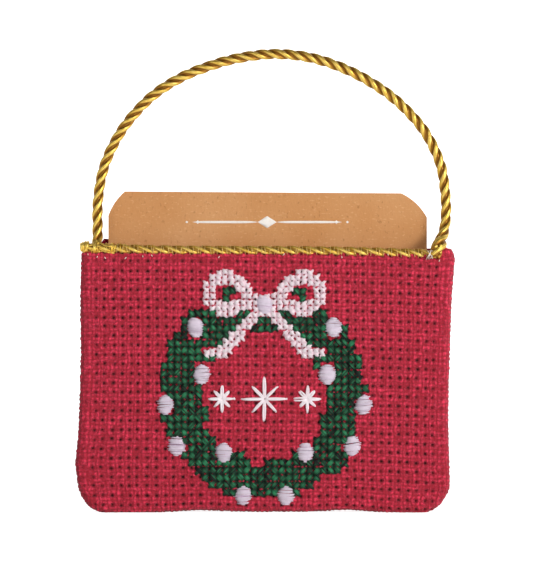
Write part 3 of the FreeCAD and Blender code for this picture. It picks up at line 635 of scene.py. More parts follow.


# %% [markdown]
# ## Woven front
#
# The ground is counted-thread cloth: thick threads in pairs with a small dark hole at every corner of a
# square about 2.5 mm wide. The bumps and holes are large enough to see from a step away, so they are in the
# mesh, eight points to a square. Each bump and hole has its own seeded height, and the rows dip a little to
# the right. Two marks, how high the thread is and how near a hole is, paint light and shade into the finish:
# a painted highlight on high threads, and painted shade in the holes and between the threads.

# %% Cloth finish
RED_CLOTH, tree, shader = new_finish("red_cloth", 0.82, Sheen_Weight=0.15, Specular_IOR_Level=0.25)
blotch = use_group(tree, MOTTLE, Scale=260.0)
fine = use_group(tree, MOTTLE, Scale=1000.0)
over = use_group(tree, COUNTED)
ground = mixed(tree, blotch, rgb(206, 43, 67), rgb(219, 54, 80))
# Painted highlight and shade: the threads are painted lighter where they stand high and darker where low.
shaded = mixed(tree, 1.0, ground, rgb(205, 188, 188), "MULTIPLY")
lit = mixed(tree, spread(tree, mark(tree, "thread"), 0.25, 1.0), shaded, rgb(244, 60, 92))
# Painted shade where the counted threads lie back.
painted_gap_shade = math_node(tree, "MULTIPLY", math_node(tree, "SUBTRACT", 1.0, over), fine)
lit = mixed(tree, spread(tree, painted_gap_shade, 0.08, 0.55, 0.0, 0.8), lit, rgb(132, 18, 36))
lit = mixed(tree, spread(tree, fine, 0.55, 1.0, 0.0, 0.4), lit, rgb(244, 74, 104))
# Painted shade: the holes are painted nearly black.
tree.links.new(mixed(tree, mark(tree, "hole"), lit, rgb(40, 4, 8)), shader.inputs["Base Color"])
bumped(tree, shader, math_node(tree, "ADD", over, fine), 0.0001)
print("finish:", RED_CLOTH.name)

# %% Front cloth, folded
CELL_X, CELL_Z = 2.445, 2.55
FINE, MEDIUM, COARSE = 8, 6, 4
ROLL, CORNER = 2.0, 8.0
FOLD_FRONT, FOLD_SIDE, HEM = 1.3, 0.7, 4.0
SIDE_FADE, EDGE_FADE = 6, 3


def steps(*stops):
    """Numbers from each stop to the next, at the step given with it."""
    runs = [np.linspace(low, high, max(int(round((high - low) / step)), 1), endpoint=False)
            for (low, step), (high, _) in zip(stops, stops[1:])]
    return np.concatenate(runs + [[stops[-1][0]]])


reach = ROLL * np.pi / 2 + SEAM_Y - FRONT_Y - ROLL
edge = HALF - ROLL + reach
hem_end = TALL + np.pi * FOLD_FRONT + HEM - FOLD_FRONT
across = steps((-edge, CELL_X / COARSE), (-HALF, CELL_X / FINE), (HALF, CELL_X / COARSE), (edge, 0))
upward = steps((ROLL - reach, CELL_Z / COARSE), (0.0, CELL_Z / FINE), (TALL, CELL_Z / MEDIUM), (hem_end, 0))
a, b = np.meshgrid(across, upward)
fold = FOLD_SIDE + (FOLD_FRONT - FOLD_SIDE) * np.clip((HALF - ROLL - np.abs(a)) / SIDE_FADE, 0, 1)
fold = fold * np.clip((edge - np.abs(a)) / EDGE_FADE, 0.1, 1)
crest = TALL - fold
cloth, facing = folded_tray(a, np.minimum(b, crest), HALF, 0.0, CORNER, ROLL, FRONT_Y, SEAM_Y)
bend = np.clip((b - crest) / fold, 0, np.pi)
down = np.maximum(b - crest - np.pi * fold, 0)
cloth -= facing * (fold * (1 - np.cos(bend)))[..., None]
cloth[..., 2] += fold * np.sin(bend) - down
cloth[..., 1] -= puff(a, b) * (np.abs(a) < HALF - ROLL) * (b < TALL)
print("front cloth: %d by %d points" % a.shape)

# %% Holes between the threads
LATTICE, HOLE_LATTICE = 160, 80
HOLE_WIDE, HOLE_TALL, HOLE_SHIFT = 0.16, 0.14, 0.035
HOLE_OPEN, OPEN_SPREAD = 1.35, 8
COLUMN_WAVE, COLUMN_LENGTH, COLUMN_DRIFT = 0.04, 9.0, 0.09
ROW_WAVE, ROW_LENGTH, ROW_DRIFT = 0.3, 28.0, 0.03
ROW_START, ROW_DIP = 0.65, 0.00045
rng = np.random.default_rng(7)

u = a / CELL_X + COLUMN_WAVE * np.sin(b / COLUMN_LENGTH)
v = (b + ROW_START + ROW_DIP * np.maximum(a, 0) ** 2 + ROW_WAVE * np.sin(a / ROW_LENGTH)) / CELL_Z
u = u - np.interp(u, np.arange(-40, 40), rng.normal(0, COLUMN_DRIFT, 80))
v = v - np.interp(v, np.arange(-20, 60), rng.normal(0, ROW_DRIFT, 80))
hole_u, hole_v = np.round(u).astype(int), np.round(v).astype(int)
jitter = rng.normal(0, HOLE_SHIFT, (3, HOLE_LATTICE, HOLE_LATTICE))
jitter = jitter[:, hole_v % HOLE_LATTICE, hole_u % HOLE_LATTICE]
du, dv = u - hole_u - jitter[0], v - hole_v - jitter[1]
hole = np.exp(-(du / HOLE_WIDE) ** 2 - (dv / HOLE_TALL) ** 2)
hole *= np.clip(HOLE_OPEN + OPEN_SPREAD * jitter[2], 0.6, 1.8)
# Towards the rolled sides and the hem the holes are less open.
hole *= np.clip((HALF - np.abs(a)) / SIDE_FADE, 0.3, 1.0) * np.clip((TALL - b) / 4.5, 0.75, 1.0)
print("holes: %d rows of %d" % (np.ptp(hole_v) + 1, np.ptp(hole_u) + 1))

# %% Threads of the front cloth
THREAD_RISE, HOLE_DEPTH = 0.28, 0.7
ACROSS_SHARE, WANDER = 0.3, 0.07
ROW_DENT, DENT_WIDTH = 0.55, 0.12


def uneven(u, v, amount):
    """Seeded numbers at the whole steps of u and v, blended smoothly between them."""
    lattice = rng.normal(0, amount, (LATTICE, LATTICE))
    low_u, low_v = np.floor(u).astype(int), np.floor(v).astype(int)
    ease_u, ease_v = [share * share * (3 - 2 * share) for share in (u - low_u, v - low_v)]
    left, right = low_u % LATTICE, (low_u + 1) % LATTICE
    near, far = [lattice[row % LATTICE, left] * (1 - ease_u) + lattice[row % LATTICE, right] * ease_u
                 for row in (low_v, low_v + 1)]
    return near * (1 - ease_v) + far * ease_v


half_u, half_v = np.floor(2 * u).astype(int) % LATTICE, np.floor(2 * v).astype(int) % LATTICE
strength = rng.uniform(0.3, 1.2, (LATTICE, LATTICE))[half_v, half_u]
lies_across = (rng.uniform(0, 1, (LATTICE, LATTICE)) < ACROSS_SHARE)[half_v, half_u]
thread_u = u + uneven(2 * u, 2 * v, WANDER)
thread_v = v + uneven(2 * u, 2 * v, WANDER)
wave_u, wave_v = np.abs(np.sin(2 * np.pi * thread_u)), np.abs(np.sin(2 * np.pi * thread_v))
lying, standing = wave_v ** 1.2 * (0.4 + 0.6 * wave_u), wave_u ** 1.2 * (0.4 + 0.6 * wave_v)
bump = np.where(lies_across, lying, standing) * strength * (1 - ROW_DENT * bell(v, hole_v, DENT_WIDTH))
relief = THREAD_RISE * bump - HOLE_DEPTH * np.minimum(hole, 1.0)
normal = unit(np.cross(np.gradient(cloth, axis=1), np.gradient(cloth, axis=0)))
cloth = settled(cloth + normal * relief[..., None])
front = make_piece("front_cloth", cloth, grid_quads(*a.shape), RED_CLOTH,
                   uv=np.stack([thread_u, thread_v], axis=-1),
                   marks={"thread": bump, "hole": np.clip(hole, 0, 1)})
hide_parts("front_panel")

# %% [markdown]
# ## Velvet back
#
# The back is a piece of dark red velvet, a little taller than the front, with soft rolled edges. It is a
# grid pressed into a rounded rectangle by the same corner rule, once for each side, and the two meet at the
# rim. Its thickness grows from the rim by a quarter ellipse. The sheen of the nap is the shader's own; the
# mottling shows where the pile has been brushed.


# %% Velvet and lining finishes
def cloth_finish(name, low, high, roughness, scale, weave):
    """A cloth of two close colours in blotches, whose plain weave is a fine bump and painted shade."""
    finish, tree, shader = new_finish(name, roughness)
    blotch = use_group(tree, MOTTLE, Scale=scale)
    over = use_group(tree, PLAIN_WEAVE, **{"Threads per metre": weave})
    colour = mixed(tree, blotch, low, high)
    # Painted shade that follows the weave.
    shade = math_node(tree, "MULTIPLY", spread(tree, over, -1.0, 1.0), 0.25)
    tree.links.new(mixed(tree, shade, colour, low), shader.inputs["Base Color"])
    bumped(tree, shader, math_node(tree, "ADD", over, blotch), 0.00006)
    print("finish:", name)
    return finish


VELVET, tree, shader = new_finish("dark_red_velvet", 1.0, Sheen_Weight=0.6, Sheen_Roughness=0.3,
                                  Sheen_Tint=rgb(214, 70, 96), Specular_IOR_Level=0.1)
brushed = use_group(tree, MOTTLE, Scale=34.0, Stretch=0.6)
pile = use_group(tree, MOTTLE, Scale=3200.0)
nap = mixed(tree, brushed, rgb(126, 18, 40), rgb(154, 30, 54))
between = math_node(tree, "MULTIPLY", pile, 0.35)
tree.links.new(mixed(tree, between, nap, rgb(100, 12, 30)), shader.inputs["Base Color"])
bumped(tree, shader, pile, 0.00005)
LINING = cloth_finish("dark_red_lining", rgb(104, 16, 34), rgb(128, 26, 46), 0.7, 120.0, 2600.0)
BACKING = cloth_finish("white_backing", rgb(222, 218, 212), rgb(240, 238, 234), 0.85, 200.0, 1800.0)


# %% Panels
def rounded_panel(half, low, high, low_radius, high_radius, columns, rows):
    """Grid points of a rounded rectangle, and how far each lies from the rim.

    Near a corner the square of the radius's size is pressed into a quarter disc.
    """
    x, z = np.meshgrid(np.linspace(-half, half, columns), np.linspace(low, high, rows))
    rim = np.minimum(half - np.abs(x), np.minimum(z - low, high - z))
    for radius, middle, up in ((low_radius, low + low_radius, -1), (high_radius, high - high_radius, 1)):
        s = np.clip((np.abs(x) - half + radius) / radius, 0, 1)
        t = np.clip(up * (z - middle) / radius, 0, 1)
        new_s, new_t = pressed(s, t)
        corner = (s > 0) & (t > 0)
        x = np.where(corner, np.sign(x) * (half - radius + radius * new_s), x)
        z = np.where(corner, middle + up * radius * new_t, z)
        rim = np.where(corner, radius * (1 - np.hypot(new_s, new_t)), rim)
    return x, z, np.maximum(rim, 0)


def two_sided(name, front, back, finish):
    """Join two grids of the same size along their edge into one closed panel, the first facing the front."""
    rows, columns = front.shape[:2]
    number = np.arange(rows * columns).reshape(rows, columns)
    other = number + rows * columns
    border = np.zeros((rows, columns), dtype=bool)
    border[[0, -1]] = True
    border[:, [0, -1]] = True
    other[border] = number[border]
    quads = grid_quads(rows, columns)
    faces = np.concatenate([quads, other.ravel()[quads[:, ::-1]]])
    used, faces = np.unique(faces, return_inverse=True)
    points = np.concatenate([front.reshape(-1, 3), back.reshape(-1, 3)])[used]
    return make_piece(name, points, faces.reshape(-1, 4), finish)


# %% Velvet back
_, BACK_Y, BACK_TOP = node_range("back_panel")[1]
BACK_TOP_CORNER, SOFT_EDGE, RIM_DEPTH = 4.0, 2.2, 0.35
TOP_SAG = np.array([(-HALF, 0.04), (-46.5, 0.025), (-45, -0.01), (-40, -0.004), (44, 0.04), (HALF, 0.045)]).T

x, z, rim = rounded_panel(HALF, 0.0, BACK_TOP, CORNER, BACK_TOP_CORNER, 150, 110)
rise = np.sqrt(1 - (1 - np.clip(rim / SOFT_EDGE, 0, 1)) ** 2)
ripple = 0.12 * np.sin(x / 7 + 0.4 * np.sin(z / 11)) * np.sin(z / 9) * rise
z = z * (1 - np.interp(x, *TOP_SAG))
inside = xyz(x, SEAM_Y + RIM_DEPTH * (1 - rise), z)
outside = xyz(x, SEAM_Y + RIM_DEPTH + (BACK_Y - SEAM_Y - RIM_DEPTH) * rise + ripple, z)
back = two_sided("back_velvet", settled(inside), settled(outside), VELVET)
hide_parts("back_panel")

# %% [markdown]
# ## Linings and backing
#
# Inside, a white backing stiffens the stitched front, a lining tray holds the card and a flat lining covers
# the velvet's wrong side. They are thin sheets, so each is one surface with a Solidify modifier for its
# thickness, and the flat ones have a slight ripple that keeps them from looking like plates.

# %% Inner layers
INNER_CORNER, TRAY_ROLL = 6.5, 0.8
TRAY_THICKNESS, LINING_THICKNESS, BACKING_SLACK = 0.35, 0.3, 0.05


def thin_sheet(name, points, thickness, finish, node):
    """A grid of points made a sheet of that flat size: its thickness goes to the side it faces away from."""
    sheet = make_piece(name, points, grid_quads(*points.shape[:2]), finish)
    solid = sheet.modifiers.new("thickness", "SOLIDIFY")
    solid.thickness = thickness * MM
    solid.offset = -1.0
    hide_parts(node)


low, high = node_range("front_interfacing")
x, z, _ = rounded_panel(high[0], low[2], high[2], INNER_CORNER, 1.0, 70, 50)
backing = xyz(x, low[1] + 0.02 * np.sin(x / 5), z)
thin_sheet("front_backing", backing, high[1] - low[1] - BACKING_SLACK, BACKING,
           "front_interfacing")

low, high = node_range("front_lining")
edge = high[0] - TRAY_ROLL + TRAY_ROLL * np.pi / 2 + high[1] - low[1] - TRAY_ROLL
a, b = np.meshgrid(np.linspace(-edge, edge, 130), np.linspace(low[2] + high[0] - edge, high[2], 80))
tray, _ = folded_tray(a, b, high[0], low[2], INNER_CORNER, TRAY_ROLL, low[1], high[1])
thin_sheet("pocket_lining", tray, TRAY_THICKNESS, LINING, "front_lining")

low, high = node_range("back_lining")
x, z, _ = rounded_panel(high[0], low[2], high[2], INNER_CORNER, 2.0, 90, 70)
flat_lining = xyz(x, low[1] + 0.04 * np.sin(x / 8) * np.sin(z / 10), z)
thin_sheet("back_lining_sheet", flat_lining, LINING_THICKNESS, LINING, "back_lining")

# %% [markdown]
# ## Kraft card
#
# The card is plain kraft board, so the frame's own solid keeps its shape and gets a finish: warm brown,
# cloudy, with short darker and paler fibres. Fibres are noise that is stretched one way, cut to its peaks.
# A small printed rule with a diamond decorates its front: very flat tubes that lie on the board.

# %% Card
KRAFT, tree, shader = new_finish("kraft_board", 0.85, Specular_IOR_Level=0.2)
cloud = use_group(tree, MOTTLE, Scale=60.0)
colour = mixed(tree, cloud, rgb(202, 142, 88), rgb(212, 156, 105))
flecks = use_group(tree, MOTTLE, Scale=1500.0, Stretch=0.5)
colour = mixed(tree, spread(tree, flecks, 0.8, 1.1, 0.0, 0.6), colour, rgb(150, 92, 48))
straws = use_group(tree, MOTTLE, Scale=900.0, Stretch=2.2)
colour = mixed(tree, spread(tree, straws, 0.7, 1.1, 0.0, 0.5), colour, rgb(236, 190, 142))
tree.links.new(colour, shader.inputs["Base Color"])
bumped(tree, shader, flecks, 0.00004)
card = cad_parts["card_insert"]
card.data.materials.clear()
card.data.materials.append(KRAFT)
print("card: %d faces of the frame's own solid" % len(card.data.polygons))

# %% Printed rule
PRINT_Z, PRINT_X, PRINT_FLAT = 79.2, 0.7, 0.03
RULE_MARKS = [
    (-11.5, 9.0, 0.7), (11.5, 9.0, 0.7), (0.0, 2.6, 3.6),
    (-19.0, 0.6, 1.1), (19.0, 0.6, 1.1), (-22.0, 0.4, 0.8), (22.0, 0.4, 0.8),
]
LONG_MARK = 5.0

PRINT, tree, shader = new_finish("white_print", 0.6)
wear = spread(tree, use_group(tree, MOTTLE, Scale=900.0), 0.0, 0.35, 0.25, 0.0)
tree.links.new(mixed(tree, wear, rgb(246, 240, 232), rgb(222, 190, 160)), shader.inputs["Base Color"])
card_face = node_range("card_insert")[0][1]
step = np.linspace(-1, 1, 25)
middles, half_lengths, widths = np.array(RULE_MARKS).T[:, :, None]
paths = xyz(PRINT_X + middles + half_lengths * step, card_face, PRINT_Z)
taper = np.where(half_lengths > LONG_MARK, 1 - np.abs(step) ** 6, 1 - np.abs(step))
thread_piece("card_rule", paths, widths * np.maximum(taper, 0.02), PRINT, "white_thread", body="card",
             sides=8, flat=PRINT_FLAT)

# %% [markdown]
# ## Trim cord
#
# A thinner length of the same cord lies along the mouth. It is sewn down by fine gold thread that crosses
# it every millimetre or so. At the left it ends under many turns of gold thread that also hold the handle's
# end; at the right a few turns of pale thread bind the two cords. Loose filaments run from both feet of the
# handle onto the trim, and a few small pale stitches of the seam show on the cloth below it.

# %% Trim
TRIM, TRIM_LAY, TRIM_STRAND = 2.55, 11.6, 0.43
TRIM_SHADE = 0.8
TRIM_Y = -3.85
TRIM_ROUTE = [
    (-49.6, 72.1), (-44.0, 72.0), (-30.0, 71.55), (-12.0, 71.4), (6.0, 71.35), (20.0, 71.2), (33.0, 70.9),
    (45.4, 70.4),
]

route = [(x, TRIM_Y, z) for x, z in TRIM_ROUTE]
trim_line, trim_along = even_steps(smooth_line("trim_route", route), ROPE_STEP)
points, faces, marks = rope(trim_line, trim_along, TRIM, TRIM_LAY, TRIM_STRAND)
marks["inner"] = TRIM_SHADE * marks["inner"]
trim = make_piece("trim_rope", points, faces, GOLD, marks=marks)
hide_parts("mouth_trim_cord")
print("trim length %.1f mm" % trim_along[-1])


# %% Tie threads
def striped_finish(name, dark, bright, roughness, count, **constants):
    """Thread with stripes along it: painted shade darkens it between its filaments."""
    finish, tree, shader = new_finish(name, roughness, **constants)
    stripes = use_group(tree, FILAMENTS, Count=count)
    tree.links.new(mixed(tree, stripes, dark, bright), shader.inputs["Base Color"])
    return finish


TIE = striped_finish("tie_thread", rgb(190, 150, 70), rgb(230, 196, 116), 0.45, 3.0, Metallic=0.3)
PALE = striped_finish("pale_binding", rgb(226, 206, 182), rgb(252, 244, 232), 0.7, 5.0)
TIE_STEP, TIE_RADIUS, TIE_THICKNESS = 1.15, 1.3, 0.24
rng = np.random.default_rng(11)

tie_x = np.arange(-40.0, 44.0, TIE_STEP)
tie_x = (tie_x + rng.normal(0, 0.25, len(tie_x)))[:, None]
tie_z = np.interp(tie_x, trim_line[:, 0], trim_line[:, 2])
swing = np.linspace(-0.62 * np.pi, 0.55 * np.pi, 9)
lean = rng.normal(0.0, 0.5, (len(tie_x), 1))
paths = xyz(
    tie_x + lean * swing / np.pi,
    TRIM_Y - TIE_RADIUS * np.cos(swing),
    tie_z + TIE_RADIUS * np.sin(swing),
)
thread_piece("trim_ties", paths, TIE_THICKNESS, TIE, "gold_cord", sides=4)

# %% Whippings and loose filaments
SPLAY_Y = (-5.0, -4.2)


def seeded_marks(most, count):
    """Marks for loose gold threads: each has its own seeded depth of painted shade, and no groove shade."""
    return {"inner": rng.uniform(0.0, most, (count, 1, 1)), "painted_groove_shade": 0.0}


def bindings(name, count, low, high, middle, half_depth, half_height, thickness, finish, slot, close=0.0):
    """Separate turns of thread round an oval, each at a seeded place along X with its own size and lean.

    Towards the low end the ovals shrink by the share called close, as a quarter round does.
    """
    angle = np.linspace(0, 2 * np.pi, 22)
    where = np.sort(rng.uniform(low, high, count))[:, None]
    shrink = close * (1 - np.sqrt(1 - ((high - where) / (high - low)) ** 2))
    size = rng.normal(1.0, 0.06, (count, 1)) * (1 - shrink)
    lean = rng.normal(0.0, 0.28, (count, 2, 1))
    paths = xyz(
        where + lean[:, 0] * np.cos(angle) + lean[:, 1] * np.sin(angle),
        middle[0] + half_depth * size * np.cos(angle),
        middle[1] + half_height * size * np.sin(angle),
    )
    thickness = thickness * rng.uniform(0.8, 1.2, (count, 1))
    thread_piece(name, paths, thickness, finish, slot, marks=seeded_marks(0.45, count), out=(1, 0, 0))


def splayed(name, count, top, half_width, low_x, high_x, low_z, high_z, thickness):
    """Loose gold filaments that run down from a cord's foot and turn along the mouth to either side.

    Each follows a quarter of an ellipse from a seeded place in the foot to a seeded place on the trim.
    """
    share = np.linspace(0, 1, 12)
    start = np.array(top) + rng.uniform(-1, 1, (count, 3)) * [half_width, 0.4, 0.3]
    ranges = ((low_x, high_x), SPLAY_Y, (low_z, high_z))
    stop = np.column_stack([rng.uniform(low, high, count) for low, high in ranges])
    down, side = np.sin(share * np.pi / 2), 1 - np.cos(share * np.pi / 2)
    paths = start[:, None] + (stop - start)[:, None] * xyz(side, down, down)
    thickness = thickness * rng.uniform(0.7, 1.3, (count, 1))
    thread_piece(name, paths, thickness, GOLD, "gold_cord", marks=seeded_marks(0.5, count))


# A binding has so many turns between two places along X, round a middle in Y and Z, and then its half
# depth, half height and thickness. A splay has so many filaments from a top of some half width to places
# between two X and two Z, and then their thickness.
bindings("left_end_turns", 14, -50.3, -47.6, (-3.7, 72.3), 1.4, 1.4, 0.5, GOLD, "gold_cord", close=0.8)
bindings("left_foot_turns", 7, -46.6, -43.9, (-3.5, 71.8), 1.6, 1.5, 0.3, GOLD, "gold_cord")
bindings("left_fine_turns", 12, -43.6, -38.8, (-3.7, 71.95), 1.38, 1.38, 0.22, GOLD, "gold_cord")
splayed("left_splay", 22, (-45.5, -3.4, 74.0), 0.9, -50.2, -40.5, 70.6, 72.8, 0.42)
splayed("right_splay", 16, (47.2, -6.2, 72.6), 0.9, 45.2, 48.0, 69.3, 70.6, 0.45)
bindings("right_end_turns", 4, 44.5, 45.3, (-4.7, 70.2), 1.9, 1.2, 0.26, PALE, "white_thread")

# %% Mouth stitches
SEWN_X = np.array([-49.0, -46.3, -44.0, -38.2, -33.3, -30.8, -12.4, 5.2, 21.0, 33.5, 46.9])
SEWN_Z, RIGHT_DROP, RIGHT_FROM = 70.0, 0.9, 40
SEWN_LENGTH, SEWN_RISE, SEWN_THICKNESS = 0.45, 0.45, 0.24

sewn_z = SEWN_Z + rng.uniform(-0.8, 0.4, len(SEWN_X)) - RIGHT_DROP * (SEWN_X > RIGHT_FROM)
share = np.linspace(-0.5, 0.5, 7)
sewn_way = rng.normal(0, 0.25, (len(SEWN_X), 1))
paths = xyz(
    SEWN_X[:, None] + sewn_way * share,
    FRONT_Y + 0.1 - SEWN_RISE * (1 - 4 * share ** 2),
    sewn_z[:, None] + SEWN_LENGTH * share,
)
thread_piece("mouth_stitches", paths, SEWN_THICKNESS, PALE, "white_thread", settle=True)

# %% [markdown]
# ## Cross-stitch
#
# The wreath and the bow are worked in cross-stitch: each stitch is an X of two legs over one square of the
# ground, and each leg is three strands side by side. A formula says which squares are filled: for the
# wreath, those between two wavy circles, of which the outer one is fuller at its shoulders, and for the
# bow, those inside its knot, its loops, its tails and their flared ends. A seeded draw says which leg of an
# X lies over the other. Every strand has its own shade, so that the green looks like many passes of thread.

# %% Thread finishes
FLOSS_STRIPES = 5.0


def thread_finish(name, dark, bright, roughness):
    """Floss with painted shade between its filaments, whose colour follows a stitch's shade mark."""
    finish, tree, shader = new_finish(name, roughness, Specular_IOR_Level=0.25)
    stripes = use_group(tree, FILAMENTS, Count=FLOSS_STRIPES)
    colour = mixed(tree, mark(tree, "shade"), dark, bright)
    # Painted shade: the colour darkens between the filaments.
    between = math_node(tree, "MULTIPLY", math_node(tree, "SUBTRACT", 1.0, stripes), 0.5)
    tree.links.new(mixed(tree, between, colour, dark), shader.inputs["Base Color"])
    bumped(tree, shader, stripes, 0.00005)
    print("finish:", name)
    return finish


# Each thread colour runs from its painted shade (first) to its painted highlight (second), through seeded
# tone.
GREEN = thread_finish("green_thread", rgb(11, 17, 15), rgb(60, 160, 108), 0.5)
WHITE = thread_finish("white_thread", rgb(255, 224, 233), rgb(255, 252, 254), 0.6)
SATIN = thread_finish("satin_thread", rgb(228, 202, 226), rgb(238, 230, 240), 0.6)

# %% The bow's outline
WREATH_Z, OUTER, INNER = 31.0, 27.2, 17.3
KNOT_Z, KNOT_RADIUS = WREATH_Z + OUTER - 1.6, 2.6
LOOP_START, LOOP_NECK, LOOP_END, LOOP_RADIUS = (2.6, 0.96), 1.6, (10.6, 3.2), 6.3
HOLE_START, HOLE_NOSE, HOLE_RADIUS = (6.6, 2.08), 0.6, 2.7
TAIL_ROOT, TAIL_END, TAIL_RADIUS = 1.5, (11.0, -12.15), 1.9
FOOT_START, FOOT_RADIUS, FOOT_END, FOOT_TIP = (10.6, -12.3), 1.7, (15.4, -13.2), 0.9


def drop_depth(x, z, start, start_radius, end, end_radius):
    """How deep points lie in a drop: of all circles along its axis, the largest radius less distance."""
    share = np.linspace(0, 1, 24)
    middle_x = start[0] + share * (end[0] - start[0])
    middle_z = start[1] + share * (end[1] - start[1])
    radius = start_radius + share * (end_radius - start_radius)
    return np.max(radius - np.hypot(x[..., None] - middle_x, z[..., None] - middle_z), axis=-1)


def bow_depth(x, z):
    """How deep points lie in the bow: in its knot, a tail, a tail's foot, or a loop but not in its hole."""
    x, z = np.abs(x), z - KNOT_Z
    knot = KNOT_RADIUS - np.hypot(x, z)
    loop = drop_depth(x, z, LOOP_START, LOOP_NECK, LOOP_END, LOOP_RADIUS)
    hole = drop_depth(x, z, HOLE_START, HOLE_NOSE, LOOP_END, HOLE_RADIUS)
    tail = drop_depth(x, z, (0.0, 0.0), TAIL_ROOT, TAIL_END, TAIL_RADIUS)
    foot = drop_depth(x, z, FOOT_START, FOOT_RADIUS, FOOT_END, FOOT_TIP)
    return np.max([knot, np.minimum(loop, -hole), tail, foot], axis=0)


def squares(wide, tall, count_x, count_z):
    """Centres of the squares of a stitch grid that is even about the middle."""
    columns, rows = np.meshgrid(np.arange(-count_x, count_x), np.arange(count_z))
    return (columns + 0.5) * wide, (rows + 0.5) * tall


# %% The bow's squares and the berries' places
BOW_STITCH = 1.66
BERRY_COUNT, BERRY_FIRST, BERRY_IN, BERRY_OUT = 12, 44.0, 1.0, 0.2

bow_x, bow_z = squares(BOW_STITCH, BOW_STITCH, 12, 42)
in_bow = (bow_depth(bow_x, bow_z) > -0.25) & (np.hypot(bow_x, bow_z - KNOT_Z) > KNOT_RADIUS - 0.8)
bow_x, bow_z = bow_x[in_bow], bow_z[in_bow]

berry_number = np.arange(BERRY_COUNT)
berry_turn = np.radians(BERRY_FIRST + berry_number * (360 - 2 * BERRY_FIRST) / (BERRY_COUNT - 1))
berry_reach = np.where(berry_number % 3 == 1, INNER + BERRY_IN, OUTER - BERRY_OUT)
berry_x, berry_z = berry_reach * np.sin(berry_turn), WREATH_Z + berry_reach * np.cos(berry_turn)
print("%d squares in the bow, %d berries" % (len(bow_x), BERRY_COUNT))

# %% The wreath's squares
STITCH_X, STITCH_Z, FIRST_ROW = 1.89, 2.03, 0.45
BERRY_ROOM_X, BERRY_ROOM_Z = 2.3, 2.7
FULLER = np.array([
    (-180, -0.3), (-130, 0.6), (-90, 1.0), (-60, 2.8), (-48, 4.2), (-30, 2.6), (-10, 0.4), (25, 1.2),
    (50, 2.0), (65, 1.0), (90, -0.4), (110, -0.8), (130, 0.4), (180, -0.3),
]).T
LEAF_HALF, LEAF_DROP, LEAF_TALL = 3.6, 4.6, 2.2
LOOP_LEAF_LONG, LOOP_LEAF_WIDE, LOOP_LEAF_IN, LOOP_LEAF_DOWN = 3.6, 1.8, 0.9, 0.4
TAILS_CLEAR = -15.0

x, z = squares(STITCH_X, STITCH_Z, 16, 35)
z = z + FIRST_ROW
turn, radius = np.arctan2(x, z - WREATH_Z), np.hypot(x, z - WREATH_Z)
fuller = np.interp(np.degrees(turn), *FULLER)
outer_edge = OUTER + fuller + 0.6 * np.sin(9 * turn + 0.6) + 0.4 * np.sin(17 * turn)
inner_edge = INNER - 0.3 - 0.7 * np.sin(7 * turn + 1.0) - 0.5 * np.sin(13 * turn)
in_ring = (radius < outer_edge) & (radius > inner_edge)
from_berry = np.hypot((x[..., None] - berry_x) / BERRY_ROOM_X, (z[..., None] - berry_z) / BERRY_ROOM_Z)
near_berry = np.min(from_berry, axis=-1) < 1.0
drop = z - KNOT_Z
between_tails = (drop > TAILS_CLEAR) & (np.abs(x) < -drop * TAIL_END[0] / -TAIL_END[1])
knot_leaf = (np.abs(x) < LEAF_HALF) & (np.abs(drop + LEAF_DROP) < LEAF_TALL)
leaf_x, leaf_z = np.abs(x) - LOOP_END[0] + LOOP_LEAF_IN, drop - LOOP_END[1] + LOOP_LEAF_DOWN
loop_leaf = np.hypot((leaf_x - leaf_z) / LOOP_LEAF_LONG, (leaf_x + leaf_z) / LOOP_LEAF_WIDE) < 1.0
covered = (bow_depth(x, z) > -0.1) | (drop > -0.5) | (between_tails & ~knot_leaf)
in_wreath = ((in_ring | knot_leaf) & ~near_berry & ~covered) | loop_leaf
wreath_x, wreath_z = x[in_wreath], z[in_wreath]
print("%d squares in the wreath" % len(wreath_x))

# %% Stitches
STRAND_ASIDE = np.array([-0.3, 0.0, 0.3])
OVER_RISE, UNDER_SHADE = 0.22, 0.6
WREATH_OVERLAP, WREATH_THREAD, WREATH_ENDS, WREATH_RISE = 1.06, 1.13, 0.9, 0.6
BOW_THREAD, BOW_ENDS, BOW_RISE, BOW_MARGIN = 0.86, 0.6, 0.7, 0.55
GREEN_TONE, RIGHT_PAINTED_SHADE, DIM_FROM, DIM_REACH, BOW_TONE = 0.58, 0.12, 8, 12, 1.0
CLOTH_PILE = 0.12


def cloth_y(x, z):
    """The depth of the front cloth's surface."""
    return FRONT_Y - CLOTH_PILE - puff(x, z)


